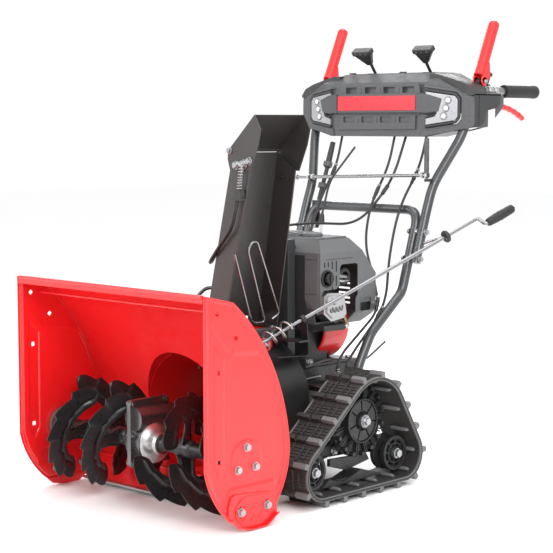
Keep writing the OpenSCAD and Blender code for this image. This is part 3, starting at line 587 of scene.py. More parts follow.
# Skid shoes: pressed plate with a ribbed panel, curled sole and slotted bolts
SKID = [(78, 84), (92, 90), (206, 78), (216, 70), (226, 48), (227, 24), (192, 2.5), (186, 0.3), (136, 0.3),
        (104, 7), (74, 32), (69, 42), (70, 66)]
SKID_PAD = [(108, 76), (124, 81), (196, 75), (208, 66), (212, 42), (196, 18), (110, 18), (92, 34), (90, 58)]
skid = Piece()
slots = [rounded(9, 26, 4.4, 5, s) for s in SKID_BOLTS]
skid.pair(prism(SKID, 4, slots), RED, yz(330.2))
skid.pair(prism(SKID_PAD, 3.4, slots), RED, yz(332.6))
for y0, z0 in ((120, 30), (148, 30), (120, 56), (148, 54), (172, 32)):
    skid.pair(prism([(y0 - 11, z0 - 7), (y0 + 11, z0 - 4), (y0 + 4, z0 + 8)], 1.6), RED, yz(335.6))
sole = [(227, 24), (192, 2.6), (186, 0.4), (136, 0.4), (104, 7), (74, 32)]
rows = []
for k in range(7):
    a = math.radians(90 * k / 6)
    x, rise = 331 + 12.5 * math.sin(a), 4.0 * (1 - math.cos(a))
    rows.append([(x, y + rise * (0.5 if y < 120 else -0.4 if y > 210 else 0), z + rise + 1.3)
                 for y, z in resample(sole, 6, closed=False)])
skid.pair(grid_sheet(rows, 2.4), RED)
skid.done("skid_plates", "red_paint", ["skid_shoes"], bevel=0.9)

hardware = Piece()
for s in (-1, 1):
    for y, z in BEARING_BOLTS:
        add_bolt(hardware, (s * 329.2, y, z), (s, 0, 0), 8)
        hardware.add(lathe([(0, 4), (16, 4)], 16), ZINC, place((s * 313, y, z), (s, 0, 0)))
    for y, z in SKID_BOLTS:
        add_bolt(hardware, (s * 335.8, y, z), (s, 0, 0), 8.4)
        add_bolt(hardware, (s * 325, y, z), (-s, 0, 0), 7)
    for y, z in HANDLE_BOLTS:
        for x, way in ((226.6, s), (175.2, -s)):
            add_bolt(hardware, (s * x, y, z), (way, 0, 0), 7)
hardware.done("housing_bolts", "zinc_fasteners", ["fasteners"], bevel=0.5)


# ---- augers ----

RIBBON_OUT, RIBBON_IN, RIBBON_SPAN = 137.0, 75.0, 82.0
STEP = 0.68    # mm along the shaft per degree of flight


def slab(x, half, y, z):
    """Closed sheet through the grid of points, half thick to each side along X."""
    return shell(np.stack([x + half, y, z], axis=2), np.stack([x - half, y, z], axis=2))


def ribbon(x, c, body):
    """Serrated helical flight with a raised ridge and rounded hook ends."""
    turns = np.linspace(-RIBBON_SPAN, RIBBON_SPAN, 150)
    across = np.array([0, 0.03, 0.07, 0.12, 0.17, 0.22, 0.27, 0.32, 0.38, 0.45, 0.52, 0.6, 0.7, 0.8, 0.9,
                       0.96, 1.0])
    tooth = ((turns + RIBBON_SPAN) / 27.5) % 1.0
    outer = RIBBON_OUT - 1 - 12.0 * np.where(tooth < 0.86, tooth / 0.86, (1 - tooth) / 0.14)
    outer = np.maximum(outer, 124)
    to_end = RIBBON_SPAN - np.abs(turns)
    pinch = np.sqrt(np.clip(1 - (1 - np.clip(to_end / 15.0, 0, 1)) ** 2, 0.0, 1))
    middle = 106.0
    inner = middle - (middle - RIBBON_IN) * pinch
    outer = middle + 3 + (outer - middle - 3) * (0.25 + 0.75 * pinch)
    w = np.radians(c + turns)[:, None]
    r = inner[:, None] + (outer - inner)[:, None] * across[None, :]
    ridge = 4.6 * np.exp(-((across - 0.27) / 0.07) ** 2)[None, :] * np.clip(to_end / 12, 0.1, 1)[:, None]
    curl = 5.0 * (across[None, :] - 0.3) ** 2
    flare = 3.0 * (1 - across[None, :]) ** 2
    base = x - STEP * turns[:, None] + ridge + curl - flare * 0.6
    thin = 1.9 - 0.8 * ease(across, 0.7, 1.0)[None, :]
    y, z = AUGER_Y - r * np.cos(w), AUGER_Z + r * np.sin(w)
    body.add(slab(base, thin, y, z), AUGER)


def web(x, c, body):
    """Arm that flares from the hub into the middle of a flight."""
    t = np.linspace(0, 1, 30)[:, None]
    u = np.linspace(-1, 1, 33)[None, :]
    radius = 13 + 78 * t
    half = 24 - 6 * np.sin(np.pi * np.clip(t * 1.15, 0, 1)) + 34 * ease(t, 0.55, 1.0) ** 1.4
    side = u * half
    drop = np.sqrt(np.maximum(radius ** 2 - (side * ease(t, 0.4, 1)) ** 2, 100))
    turn = np.degrees(np.arctan2(side, drop))
    k = ease(t, 0.2, 0.95)
    sx = x - STEP * turn * k - 0.33 * side * (1 - k)
    ridge = 3.4 * np.exp(-((np.abs(u) - 0.72) / 0.14) ** 2) * ease(t, 0.02, 0.2)
    a = math.radians(c)
    y = AUGER_Y - drop * math.cos(a) + side * math.sin(a)
    z = AUGER_Z + drop * math.sin(a) + side * math.cos(a)
    base = sx + ridge + 2.2 * np.sin(np.pi * t)
    body.add(slab(base, -2.2, y, z), AUGER)


for name, centres, c, mirrored in (("left", (132, 252), -87, False), ("right", (90, 215), -5, True)):
    auger = Piece()
    hub = [(0, 13), (0, 17), (3, 18.5), (10, 18.5), (13, 17)]
    hub += [(254 - x, r) for x, r in reversed(hub)]
    auger.add(lathe(hub, 40), AUGER, place((50, AUGER_Y, AUGER_Z), AX))
    for x in centres:
        for half_turn in (c, c + 180):
            ribbon(x, half_turn, auger)
            web(x, half_turn, auger)
        auger.add(lathe([(-24, 17), (-20, 21), (20, 21), (24, 17)], 32), AUGER,
                  place((x, AUGER_Y, AUGER_Z), AX))
    auger.done(f"auger_{name}_flights", "auger_steel", [f"auger_{name}"], angle=45, flip=mirrored,
               body="augers")


# ---- tracks ----

FRONT_C, REAR_C, DRIVE_C = (406.0, 80.0), (717.0, 80.0), (600.0, 178.0)
END_R, TOP_R, LUGS = 65.0, 114.5, 17
SIDES = (("left", False), ("right", True))


def wheel_tangent(c, side):
    dy, dz = DRIVE_C[0] - c[0], DRIVE_C[1] - c[1]
    tilt = math.degrees(math.asin((TOP_R - END_R) / math.hypot(dy, dz)))
    return math.degrees(math.atan2(dz, dy)) + side * (tilt + 90)


FRONT_A, REAR_A = wheel_tangent(FRONT_C, 1), wheel_tangent(REAR_C, -1)
LOOP = resample(arc(REAR_C, END_R, -90, REAR_A, 60) + arc(DRIVE_C, TOP_R, REAR_A, FRONT_A, 60)
                + arc(FRONT_C, END_R, FRONT_A, 270, 60), 6.0)
LOOP_MARKS = np.concatenate([[0], np.cumsum(np.linalg.norm(np.roll(LOOP, -1, axis=0) - LOOP, axis=1))])
LOOP_LEN = float(LOOP_MARKS[-1])
PITCH = LOOP_LEN / LUGS


def loop_at(s):
    """Point and outward direction on the belt's outer face, s along it from the bottom of the rear wheel."""
    s = s % LOOP_LEN
    i = min(int(np.searchsorted(LOOP_MARKS, s, side="right")) - 1, len(LOOP) - 1)
    a, b = LOOP[i], LOOP[(i + 1) % len(LOOP)]
    d = (b - a) / np.linalg.norm(b - a)
    return a + d * (s - LOOP_MARKS[i]), np.array([d[1], -d[0]])


def loft_loop(piece, section, material):
    """Closed band round the belt's path; section is (x, height above the outer face) points in order."""
    count, size = len(LOOP), len(section)
    before, after = np.roll(LOOP, 1, axis=0), np.roll(LOOP, -1, axis=0)
    d = (after - before) / np.linalg.norm(after - before, axis=1, keepdims=True)
    out = np.stack([d[:, 1], -d[:, 0]], axis=1)
    verts = [Vector((x, *(LOOP[i] + out[i] * h))) for i in range(count) for x, h in section]
    faces = []
    for i in range(count):
        a, b = i * size, (i + 1) % count * size
        faces += [(a + k, a + (k + 1) % size, b + (k + 1) % size, b + k) for k in range(size)]
    piece.add((verts, faces), material)


def on_belt(s):
    """Frame on the belt: local X across the machine, Y along the belt, Z outward."""
    p, out = loop_at(s)
    z, x = Vector((0, *out)), Vector(AX)
    m = Matrix((x, z.cross(x), z)).transposed().to_4x4()
    m.translation = Vector((0, *p))
    return m


def bar_on(piece, s, xs, heights, wide, mat=RUBBER, taper=0.8):
    """Moulded bar across the belt, its upper width taper times the lower."""
    (h0, h1), half, top = heights, wide / 2, wide * taper / 2
    v = [Vector((x, *p)) for x in xs for p in ((-half, h0), (half, h0), (top, h1), (-top, h1))]
    f = [(0, 3, 2, 1), (4, 5, 6, 7), (0, 1, 5, 4), (1, 2, 6, 5), (2, 3, 7, 6), (3, 0, 4, 7)]
    piece.add((v, f), mat, on_belt(s))


def round_ended(t):
    return math.sqrt(max(1 - (2 * t - 1) ** 10, 0.06))


for name, mirrored in SIDES:
    belt = Piece()
    loft_loop(belt, [(205, -7), (205, -0.8), (205.8, 0), (324.2, 0), (325, -0.8), (325, -7), (324, -8),
                     (206, -8)], RUBBER)
    # edge bands in lighter rubber: painted highlight along both belt edges
    for x in (322.2, 207.8):
        loft_loop(belt, [(x - 2.7, 0.7), (x + 2.7, 0.7), (x + 2.7, -8.6), (x - 2.7, -8.6)], RUBBER_HIGHLIGHT)
    # the lugs start where the CAD's do, measured from the bottom of the front wheel
    start = LOOP_LEN - (REAR_C[0] - FRONT_C[0]) + 7
    for i in range(LUGS):
        s = start + i * PITCH
        middle = s + PITCH / 2
        bar_on(belt, s, (206, 324.6), (-1, 7), 17, taper=0.75)
        # outer lug end in lighter rubber: painted highlight
        bar_on(belt, s, (285, 325), (-1, 14.8), 15, RUBBER_HIGHLIGHT, 0.82)
        bar_on(belt, s, (205, 245), (-1, 14.8), 15, RUBBER, 0.82)
        bar_on(belt, s, (252, 278), (-1, 13), 15)
        for k in (0.3, 0.43, 0.57, 0.7):
            bar_on(belt, s + PITCH * k, (214, 316), (-1, 2.6), 3.2, taper=0.6)
        for x in (248, 280):
            bar_on(belt, middle, (x - 1.6, x + 1.6), (-1, 5.2), PITCH * 0.7, taper=1)
        for x in (298, 232):
            bar_on(belt, middle, (x - 2, x + 2), (-1, 4.2), PITCH * 0.5, taper=1)
        # guide bar on the inner face, in lighter rubber as a painted highlight
        p, out = loop_at(s)
        guide = [(x, *(p - out * 12.4)) for x in np.linspace(248, 308, 14)]
        belt.add(tube(guide, 5.4, 14, taper=round_ended), RUBBER_HIGHLIGHT)
        bar_on(belt, s, (250, 306), (-12, -7), 10, taper=1.25)
    belt.done(f"{name}_track_belt", "track_rubber", [f"{name}_track"], bevel=1.1, flip=mirrored)


def wedge_holes(count, r0, r1, gap, phase=0.0, n=6):
    """Wedge shaped windows between straight spokes gap wide."""
    out = []
    for i in range(count):
        mid = phase + 360 * i / count
        span = 180 / count
        g0 = math.degrees(math.asin(min(gap / 2 / r0, 0.9)))
        g1 = math.degrees(math.asin(gap / 2 / r1))
        out.append(arc((0, 0), r1, mid - span + g1, mid + span - g1, n)
                   + arc((0, 0), r0, mid + span - g0, mid - span + g0, n))
    return out


for name, mirrored in SIDES:
    at = yz(0, *DRIVE_C)
    wheel = Piece()
    wheel.add(lathe([(1, 13), (244, 13), (244, 54), (262, 56), (262, 0)], 64), BLACK, at)
    wheel.add(prism(circle(56, 80), 8), BLACK, at @ move(0, 0, 262))
    for pad in wedge_holes(7, 25, 50, 4.5, 18):
        wheel.add(prism(pad, 6), BLACK, at @ move(0, 0, 269.5))
    wheel.add(ring([(262, 52), (262, 56), (277, 56.5), (278.5, 55), (278.5, 52.5), (276, 51.5)], 80), BLACK,
              at)
    wheel.add(lathe([(262, 22), (280, 21), (284, 18), (284, 0)], 40), BLACK, at)
    for i in range(15):
        for off in (-3.2, 3.2):
            wheel.add(block((50, off - 1.4, 244), (92, off + 1.4, 266)), BLACK, at @ turn(24 * i))
        wheel.add(tube([(86, 0, 240), (86, 0, 272)], 5.5, 14), BLACK, at @ turn(24 * i + 12))
    wheel.add(ring([(249, 50), (249, 90), (250, 92), (256, 92), (257, 90), (257, 50)], 90), BLACK, at)
    wheel.add(lathe([(284, 0), (284, 17), (285.6, 17), (286.4, 16), (286.4, 0)], 40), CHROME, at)
    for mesh in bolt(9.5):
        wheel.add(mesh, ZINC, at @ move(0, 0, 286.2))
    wheel.done(f"{name}_sprocket", "black_plastic", [f"{name}_drive_wheel"], bevel=0.8, flip=mirrored,
               body=f"{name}_sprocket")
    for end, c in (("front", FRONT_C), ("rear", REAR_C)):
        at_c = yz(0, *c)
        roller = Piece()
        for x0, outward in ((240, -1), (274, 1)):
            face = at_c @ move(0, 0, x0)
            roller.add(ring([(0, 38), (-1, 44), (0, 45), (12, 45), (13, 44), (12, 38)], 60), BLACK, face)
            holes_in = wedge_holes(6 if end == "front" else 8, 19, 35, 5, 15) if outward > 0 else ()
            roller.add(prism(circle(40, 60), 5, holes_in), BLACK, face @ move(0, 0, 5))
            roller.add(ring([(4, 24), (12, 24), (12, 27), (4, 27)], 50), BLACK, face)
        roller.add(ring([(236, 8.1), (236, 17), (240, 19), (284, 19), (290, 15), (290, 8.1)], 40), BLACK,
                   at_c)
        roller.done(f"{name}_{end}_roller", "black_plastic",
                    [f"{name}_{end}_idler"], bevel=0.7, flip=mirrored, body=f"{name}_{end}_roller")


# ---- chute ----

CHUTE_Y = 450.0
CHUTE = move(0, CHUTE_Y, 0) @ turn(-12)
LEAN = math.tan(math.radians(14))

trim = Piece()
for s in (-1, 1):
    # folded edges down both sides of the mouth
    edge = [(44 + LEAN * (z - 405) - 1.5, s * (81 - (z - 404) * 15 / 456 - 1.2),
             z) for z in np.linspace(408, 798, 12)]
    trim.add(tube(edge, 2.2, 10), STEEL_DARK, CHUTE)
trim.add(ring([(397, 86), (396, 91.5), (399, 93), (407, 93), (409, 91), (409, 88)], 72), STEEL_DARK,
         move(0, CHUTE_Y, 0))
for k in range(6):
    x, y = polar(88, 60 * k + 15)
    add_bolt(trim, (x, CHUTE_Y + y, 408.5), AZ, 4.5)
near_side = CHUTE.to_3x3() @ Vector((0, -1, 0))
add_bolt(trim, CHUTE @ Vector((86, 65.5, 786)), near_side, 5, BLACK)
trim.done("chute_trim", "black_paint", bevel=0.3, body="chute")

fittings = Piece()
fittings.add(prism(rounded(112, 17, 2), 4), GREY_DARK, CHUTE @ place((62, 0, 862), (1, 0, -0.5), AZ))
for e, z, r in ((92, 815, 8.5), (128, 818, 10), (150, 826, 8)):
    add_bolt(fittings, CHUTE @ Vector((e, -73.6, z)), near_side, r)
fittings.add(tube([(96, -80, 817), (146, -80, 824)], 5.5, 16), ZINC, CHUTE)
for e, z in ((108, 818), (138, 822)):
    fittings.add(lathe([(-3, 8), (3, 8)], 6), ZINC, CHUTE @ place((e, -80, z), (1, 0, 0.14)))
fittings.add(tube(spiral((121, -81, 785), 6.5, 9, 62, (0.16, 0, 1), 14), 1.3, 8), ZINC, CHUTE)
fittings.add(tube([(113, -81, 752), (128, -81, 818)], 2.2, 10), CHROME, CHUTE)
for s in (-1, 1):
    add_bolt(fittings, CHUTE @ Vector((62.7, s * 73.6, 850)), near_side * -s, 7)
fittings.done("deflector_fittings", "zinc_fasteners", bevel=0.4, body="chute_deflector")

clamp = Piece()
clamp.add(block((-15, -6, -20), (15, 6, 4)), BLACK, CHUTE @ move(116, -82, 752))
clamp.add(block((-24, -5, -22), (24, 5, -17)), BLACK, CHUTE @ move(112, -82, 752))
clamp.add(tube([(106, -82, 738), (99, -82, 706)], 6, 16, taper=lambda t: 1.15 - 0.4 * t), BLACK, CHUTE)
run = fillet([(100, -82, 712), (92, -83, 680), (78, -84, 655), (20, -83, 606), (-30, -76, 568),
              (-60, -50, 566), (-74, -20, 600), (-60, -6, 640)], 26, 8)
clamp.add(tube(run, 4.4, 14), CABLE, CHUTE)
clamp.done("chute_cable_run", "cable_sheath", bevel=0.8, body="chute")

wire = [CHUTE @ Vector(p) for p in fillet([(92, -80, 599), (52, -3, 419), (52, 37, 418), (98, -45, 606),
                                           (102, -36, 627),
                                            (102, -20, 627), (97, -9, 606), (56, 78, 438),
                                            (50, 60, 425)], 14, 6)]
Piece().add(tube(wire, 3.1, 14), CHROME).done("mouth_guard", "bright_steel", ["wire_guard"], body="chute")

hoop = [(-120, 300, 342)] + fillet([(-150, 380, 430), (-150, 470, 490), (-122, 480, 492), (-112, 470, 400),
                                    (-112, 462, 330)], 24, 8)
Piece().add(tube(hoop, 5, 14), FRAME).done("tool_hoop", "grey_paint")

# ---- chute crank ----

CRANK_P, CRANK_E = Vector((124, 445, 395)), Vector((290, 916.5, 622.3))
CRANK_D = (CRANK_E - CRANK_P).normalized()
CRANK_B = CRANK_P + CRANK_D * 658    # bend at the operator's end
CRANK_ARM = Vector((25.5, -2, -14.5))
CRANK_U = CRANK_D.cross(Vector(AZ)).normalized()
CRANK_V = CRANK_D.cross(CRANK_U)


def on_crank(d, a=0.0, b=0.0):
    """Point d along the rod from the middle of its worm coil, a and b to its sides."""
    return CRANK_P + CRANK_D * d + CRANK_U * a + CRANK_V * b


crank = Piece()
bends = [on_crank(-58), CRANK_B, CRANK_B + CRANK_ARM, CRANK_B + CRANK_ARM + CRANK_D * 100]
crank.add(tube([on_crank(-60)] + fillet(bends, 9, 7), 5, 18), CHROME)
coil = [on_crank(-40 + 80 * i / 90, *polar(19, 12 * i)) for i in range(91)]
crank.add(tube([on_crank(-44)] + coil + [on_crank(44)], 2.5, 12), SILVER)
# split pins
for d in (-52, 50, 180, 262):
    crank.add(tube([on_crank(d, 0, 9), on_crank(d, 0, -9)], 1.4, 8), ZINC)
    loop = [on_crank(d + s * 2.2, 3 * s, 9 - 2 * abs(s)) for s in (-1, -0.3, 0.3, 1)]
    crank.add(tube(loop, 1, 8), ZINC)
crank.done("crank_rod", "bright_steel", ["chute_crank"], body="crank")

start = CRANK_B + CRANK_ARM + CRANK_D * 8
profile = [(0, 5.3), (0, 8.6), (1.5, 10), (4, 10.4), (20, 11.6), (40, 12.6), (43, 13.4), (46, 13.4),
           (48, 12.4), (70, 11.8), (84, 11.4), (87, 10.4), (88, 8.6), (88, 5.3)]
grip = Piece().add(ring(profile, 40), GRIP, place(start, CRANK_D))
for k in range(10):
    rib = place(start, CRANK_D) @ turn(36 * k)
    for a, b, low, high in ((5, 38, 10.2, 12.2), (51, 82, 12.0, 11.2)):
        grip.add(tube([(low, 0, a), (high, 0, b)], 0.9, 8), GRIP, rib)
grip.done("crank_barrel", "grip_rubber", ["crank_grip"], bevel=0.4, body="crank_handle")

# U shaped bracket and bearing block that carry the crank's lower end
low = on_crank(84)
holder = Piece()
strap = fillet([(low.x - 22, 438, 341), (low.x - 20, 548, 333), (low.x - 16, 545, 350),
                (low.x, low.y + 4, low.z - 10)], 8, 5)
rows = [[(p.x + s * 11, p.y, p.z) for s in (-1, -0.5, 0, 0.5, 1)] for p in strap]
holder.add(grid_sheet(rows, 3), BLACK_PAINT)
holder.add(ring([(-6, 5.4), (-6, 10), (-4, 11.5), (4, 11.5), (6, 10), (6, 5.4)], 28), BLACK,
           place(low, CRANK_D))
holder.done("crank_bearing_strap", "black_paint", bevel=0.5)


# ---- engine ----


def shrink(points, c, d):
    return [(p[0] + (d if p[0] < c[0] else -d), p[1] + (d if p[1] < c[1] else -d)) for p in points]


DIAL = (610, 524)
COVER_SIDE = [(585, 460), (600, 397), (786, 397), (804.5, 420), (804.5, 526), (720, 621.5), (606, 621.5),
              (585, 589)]
COVER_FRONT = [(-146.5, 430), (-110, 397), (110, 397), (146.5, 430), (146.5, 590), (124, 621.5),
               (-124, 621.5), (-146.5, 590)]
WINDOW = [(661, 548), (665, 555), (670, 557), (724, 557), (730, 554), (732, 548), (732, 474), (724, 464),
          (724, 380), (594, 380), (594, 408), (590, 422), (590, 482), (600, 494), (648, 495), (661, 506)]


def cut_tool(*shells):
    """One object from closed shells, each a mesh and its place."""
    piece = Piece()
    for mesh, at in shells:
        piece.add(mesh, COVER, at)
    return piece.object("tool")


def cover_body(d):
    side, front = shrink(COVER_SIDE, (695, 510), d), shrink(COVER_FRONT, (0, 510), d)
    obj = cut_tool((prism(side, 400), yz(-200)))
    combine(obj, cut_tool((prism(front, 400), xz(900))), "INTERSECT")
    return obj


cover = cover_body(0)
combine(cover, cover_body(3))
for opening in ((prism(WINDOW, 60), yz(118)), (prism(circle(19, 40, DIAL), 60), yz(120)),
                (prism(rounded(44, 34, 5, 4, (764, 447)), 60), yz(130))):
    combine(cover, cut_tool(opening))
slits = []
for y, z0, z1 in ((602, 552, 566), (616, 552, 566), (631, 547, 567), (647, 539, 567), (647, 502, 529),
                  (632, 494, 504)):
    slits.append((prism(rounded(5, z1 - z0, 2.2, 3, (y, (z0 + z1) / 2)), 60), yz(120)))
for k in range(6):
    slits.append((prism(rounded(70, 5, 2.2, 3, (700, 470 + 14 * k)), 60), yz(-180)))
    slits.append((prism(rounded(120, 5, 2.2, 3, (0, 440 + 13 * k)), 60), xz(840)))
combine(cover, cut_tool(*slits))
combine(cover, cut_tool((prism(circle(40, 48, (0, 390)), 60), xz(620))))
cover.name = "engine_shroud"
cover.data.name = "engine_shroud"
for poly in cover.data.polygons:
    poly.material_index = 0
cover.data.materials.clear()
cover.data.materials.append(COVER)
cover.data.shade_smooth()
soften(cover, 2.2, 3, 22)
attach(cover, "machine")
stand_for(["engine_cover"])

panels = Piece()
panels.add(prism([(-92, 390), (84, 388), (104, 446), (93, 470), (93, 582), (-93, 582), (-93, 470),
                  (-104, 446)], 1.6), GREY_DARK,
           xz(585.2))
panels.pair(prism([(97, 471), (131, 442), (140, 433), (142, 586), (97, 584)], 5), COVER, xz(587))
for z in (484, 572):
    panels.pair(block((97.5, 581.4, z), (141, 583, z + 1.2)), GREY_DARK)
# sloped roof cap with a raised lid and seams
panels.add(prism([(606, 622), (720, 622), (716, 626), (610, 626)], 236), COVER, yz(-118))
panels.add(prism(rounded(150, 92, 10, 5, (-30, 655)), 8), COVER, move(0, 0, 625))
panels.add(prism(rounded(130, 74, 8, 5, (-30, 655)), 3), GREY_DARK, move(0, 0, 632))
panels.add(lathe([(0, 0), (0, 8), (2, 9.5), (4, 9.5), (6, 7), (6, 0)], 30), BLACK, xz(590, 50, 602))
panels.add(lathe([(0, 0), (0, 7), (5, 6.4), (6.5, 4), (6.5, 0)], 30), LENS, xz(584, 50, 602))
# knob bezel, window rim and vent on the near side
panels.add(ring([(0, 14.8), (0, 21.5), (3, 22.5), (6.5, 21.8), (7.5, 19.5), (6, 17), (2, 15)], 60), BLACK,
           yz(144.5, *DIAL))
panels.add(block((128, 738, 428), (134, 790, 466)), GREY_DARK)
panels.add(prism([(742, 452), (788, 452), (788, 466), (742, 466)], 6), COVER, yz(137))
panels.add(prism(rounded(34, 9, 3, 3, (762, 436)), 3), BLACK, yz(134))
add_bolt(panels, (147, 796, 447), AX, 5)
panels.add(block((143, 606, 571.5), (147.4, 710, 572.6)), GREY_DARK)
panels.add(prism([(584, 406), (664, 404), (672, 396), (664, 390), (588, 392)], 60), GREY_DARK, yz(100))
panels.done("shroud_panels", "grey_plastic", bevel=1.1)

cap = Piece()
cap.add(lathe([(0, 14), (18, 14), (18, 25), (21, 26), (28, 26), (30, 24), (30, 20), (28, 18), (28, 0)], 48),
        COVER, move(70, 640, 606))
for p in circle(25.5, 16, (70, 640)):
    cap.add(tube([(*p, 626), (*p, 634)], 1.4, 8), COVER)
cap.done("filler_lid", "black_plastic", ["fuel_cap"], bevel=0.8, body="filler_cap")

choke = Piece()
at = yz(0, 612, 524)
choke.add(lathe([(138, 0), (138, 7.8), (148, 7.8), (149, 13), (151, 14), (158, 13.4), (159, 12), (159, 0)],
                40), BLACK, at)
choke.add(prism(rounded(6, 24, 2.4, 4), 5.5), BLACK, at @ move(0, 0, 157.5))
choke.done("choke_dial", "black_plastic", ["choke_knob"], bevel=0.8, body="choke")

# muffler guard: tilted pressed box with louvres over the can
guard = Piece()
GUARD = [(590, 480), (603, 488), (654, 485), (668, 474), (676, 430), (664, 420), (617, 415), (588, 436)]
guard.add(prism(GUARD, 58), SILVER, yz(98))
guard.add(prism([(598, 474), (606, 481), (650, 478), (660, 469), (666, 434), (658, 428), (619, 423),
                 (597, 440)], 5.5), SILVER, yz(155))
for y0, z0 in ((612, 440), (625, 440), (638, 441), (650, 443)):
    arch = [(161, y0 - 4, z0 + 8), (161.5, y0 - 3, z0 + 1), (161.5, y0 + 2, z0 - 2),
            (161.5, y0 + 5, z0 + 3), (161, y0 + 5, z0 + 12)]
    guard.add(tube(fillet(arch, 4, 4), 1.7, 10), SHAFT)
guard.add(tube([(128, 676, 456), (128, 691, 456)], 11.5, 24), SILVER)
guard.done("muffler_guard", "silver_steel", ["muffler"], bevel=5.0, segments=4, angle=28)

inner = Piece()
inner.add(ring([(96, 12), (96, 21), (126, 21), (128, 19), (130, 22), (134, 22), (136, 19), (136, 12)], 40),
          BLACK, yz(0, 694, 524))
inner.add(tube(fillet([(110, 664, 528), (134, 672, 526), (136, 700, 522), (110, 716, 508)], 10, 6), 5.5,
               16), CHROME)
inner.add(tube(fillet([(120, 668, 514), (137, 680, 512), (132, 712, 512)], 10, 6), 3.5, 12), SILVER)
for k in range(7):
    inner.add(block((74, 664, 396 + 9 * k), (122, 716, 399 + 9 * k)), CAST)
inner.add(tube(fillet([(132, 690, 424), (138, 694, 408), (130, 700, 396), (126, 660, 388)], 8, 5), 4, 12),
          BRONZE)
inner.add(lathe([(0, 7), (16, 7), (16, 10), (24, 10), (24, 0)], 24), ZINC,
          place((118, 706, 410), (0.6, 0, -1)))
inner.add(block((90, 650, 496), (116, 726, 506)), BLACK)
inner.add(prism(rounded(70, 88, 8, 4, (696, 512)), 3), BLACK, yz(80))
inner.done("carburettor_parts", "cast_metal", bevel=0.8)

# rod with a sleeve rising behind the cover
mast = Piece()
mast.add(tube([(-57, 812, 560), (-56, 816, 645)], 4.5, 16), LENS)
mast.add(lathe([(0, 5), (0, 8), (10, 8), (24, 6), (32, 3.5), (32, 0)], 24), BLACK,
         place((-56, 816, 643), (0, 0.15, 1)))
mast.add(tube(fillet([(-56, 820, 672), (-56, 850, 760), (-60, 960, 850)], 30, 6), 3, 12), CABLE)
mast.done("dipstick_sleeve", "cable_sheath", bevel=0.5)

# recoil housing: dished ring with vents on the red blower
blower = Piece()
blower.add(ring([(-38, 90), (-38, 92), (-32, 96), (54, 96), (60, 92), (62, 80), (60, 40), (58, 30),
                 (56, 30), (56, 90)], 80), RED,
           place((0, 700, 390), AY))
for k in range(14):
    blower.add(prism(rounded(30, 6, 2.6, 3, (62, 0)), 2.2), BLACK,
               place((0, 761, 390), AY) @ turn(360 / 14 * k))
blower.done("blower_shell", "red_paint", ["blower_housing"], bevel=1.0)

pull = Piece()
pull.add(tube([(0, 757, 430), (0, 811, 430)], 3.2, 12), CABLE)
pull.add(tube([(-29, 816, 430), (29, 816, 430)], 6.3, 20, taper=lambda t: 0.9 + 0.1 * math.cos(6.28 * t)),
         BLACK)
pull.add(lathe([(0, 3.3), (0, 6), (10, 8), (13, 6)], 20), BLACK, place((0, 799, 430), AY))
pull.done("starter_grip", "black_plastic", ["recoil_handle"], bevel=0.6, body="starter_handle")


# ---- deck and chassis ----

deck = Piece()
for mat, lo, hi in (
        (FRAME, (62, 538.5, 110), (86, 541, 330)), (FRAME, (-86, 538.5, 110), (-62, 541, 330)),
        (BLACK_PAINT, (-96, 600, 294), (96, 786, 298)), (BLACK_PAINT, (88, 545, 252), (96, 786, 290)),
        (BLACK_PAINT, (92, 590, 242), (192, 676, 246)), (FRAME, (126, 628, 250), (158, 660, 274)),
        (FRAME, (60, 572, 298), (110, 600, 318))):
    deck.add(block(lo, hi), mat)
deck.add(tube([(98, 548, 262), (98, 640, 266)], 3, 12), ZINC)
for k in range(6):
    deck.add(block((100 + 15 * k, 594, 245), (106 + 15 * k, 672, 250)), BLACK_PAINT)
add_bolt(deck, (110, 586, 308), AX, 7)
add_bolt(deck, (142, 644, 273), AZ, 6)
for x in (-76, 76):
    for z in (126, 200, 280):
        add_bolt(deck, (x, 538.6, z), (0, -1, 0), 6)
for x, y in ((80, 612), (80, 770), (-80, 612), (-80, 770)):
    add_bolt(deck, (x, y, 298), AZ, 7)
deck.add(tube(fillet([(120, 560, 300), (120, 640, 312), (150, 760, 300), (150, 840, 340)], 20, 5), 3, 12),
         FRAME)
for k in range(5):
    hose = [(96, 560 + 12 * k, 250), (150, 556 + 12 * k, 258), (178, 566 + 12 * k, 250)]
    deck.add(tube(fillet(hose, 14, 4), 3.2, 10), BLACK_PAINT)
deck.done("deck_fittings", "black_paint", bevel=0.8)

slides = Piece()
for s in (-1, 1):
    for p in ((540, 106), (566, 108), (640, 100)):
        add_bolt(slides, (s * 232.5, *p), (s, 0, 0), 9)
    for c in (FRONT_C, REAR_C):
        add_bolt(slides, (s * 290.4, *c), (s, 0, 0), 10.5)
for x in (236, 276):
    slides.pair(prism([(440, 33), (470, 52), (500, 40), (530, 40), (590, 58), (640, 44), (672, 33)], 6),
                BLACK, yz(x))
slides.pair(prism([(500, 92), (640, 86), (650, 70), (560, 56), (500, 74)], 10), BLACK_PAINT, yz(246))
slides.done("track_slides", "black_plastic", bevel=1.2)

neck = Piece()
for s in (-1, 1):
    neck.add(ring([(0, 50), (4, 50), (12, 44), (18, 34), (22, 28), (30, 26), (30, 12.8), (0, 12.8)], 60),
             SILVER, place((s * 22, AUGER_Y, AUGER_Z), (s, 0, 0)))
neck.done("gearbox_necks", "cast_metal", bevel=0.6)

# black sleeve round the outside of the impeller drum, with its flange bolts
drum = Piece()
drum.add(ring([(286, 148.1), (286, 150.5), (532, 150.5), (540, 152), (541, 150), (541, 148.1)], 96),
         BLACK_PAINT, place((0, 0, DRUM_Z), AY))
for k in range(8):
    x, z = polar(1, 45 * k + 22)
    add_bolt(drum, (150.4 * x, 300, DRUM_Z + 150.4 * z), (x, 0, z), 6)
drum.done("drum_sleeve", "black_paint", bevel=0.6)


# ---- handle frame ----

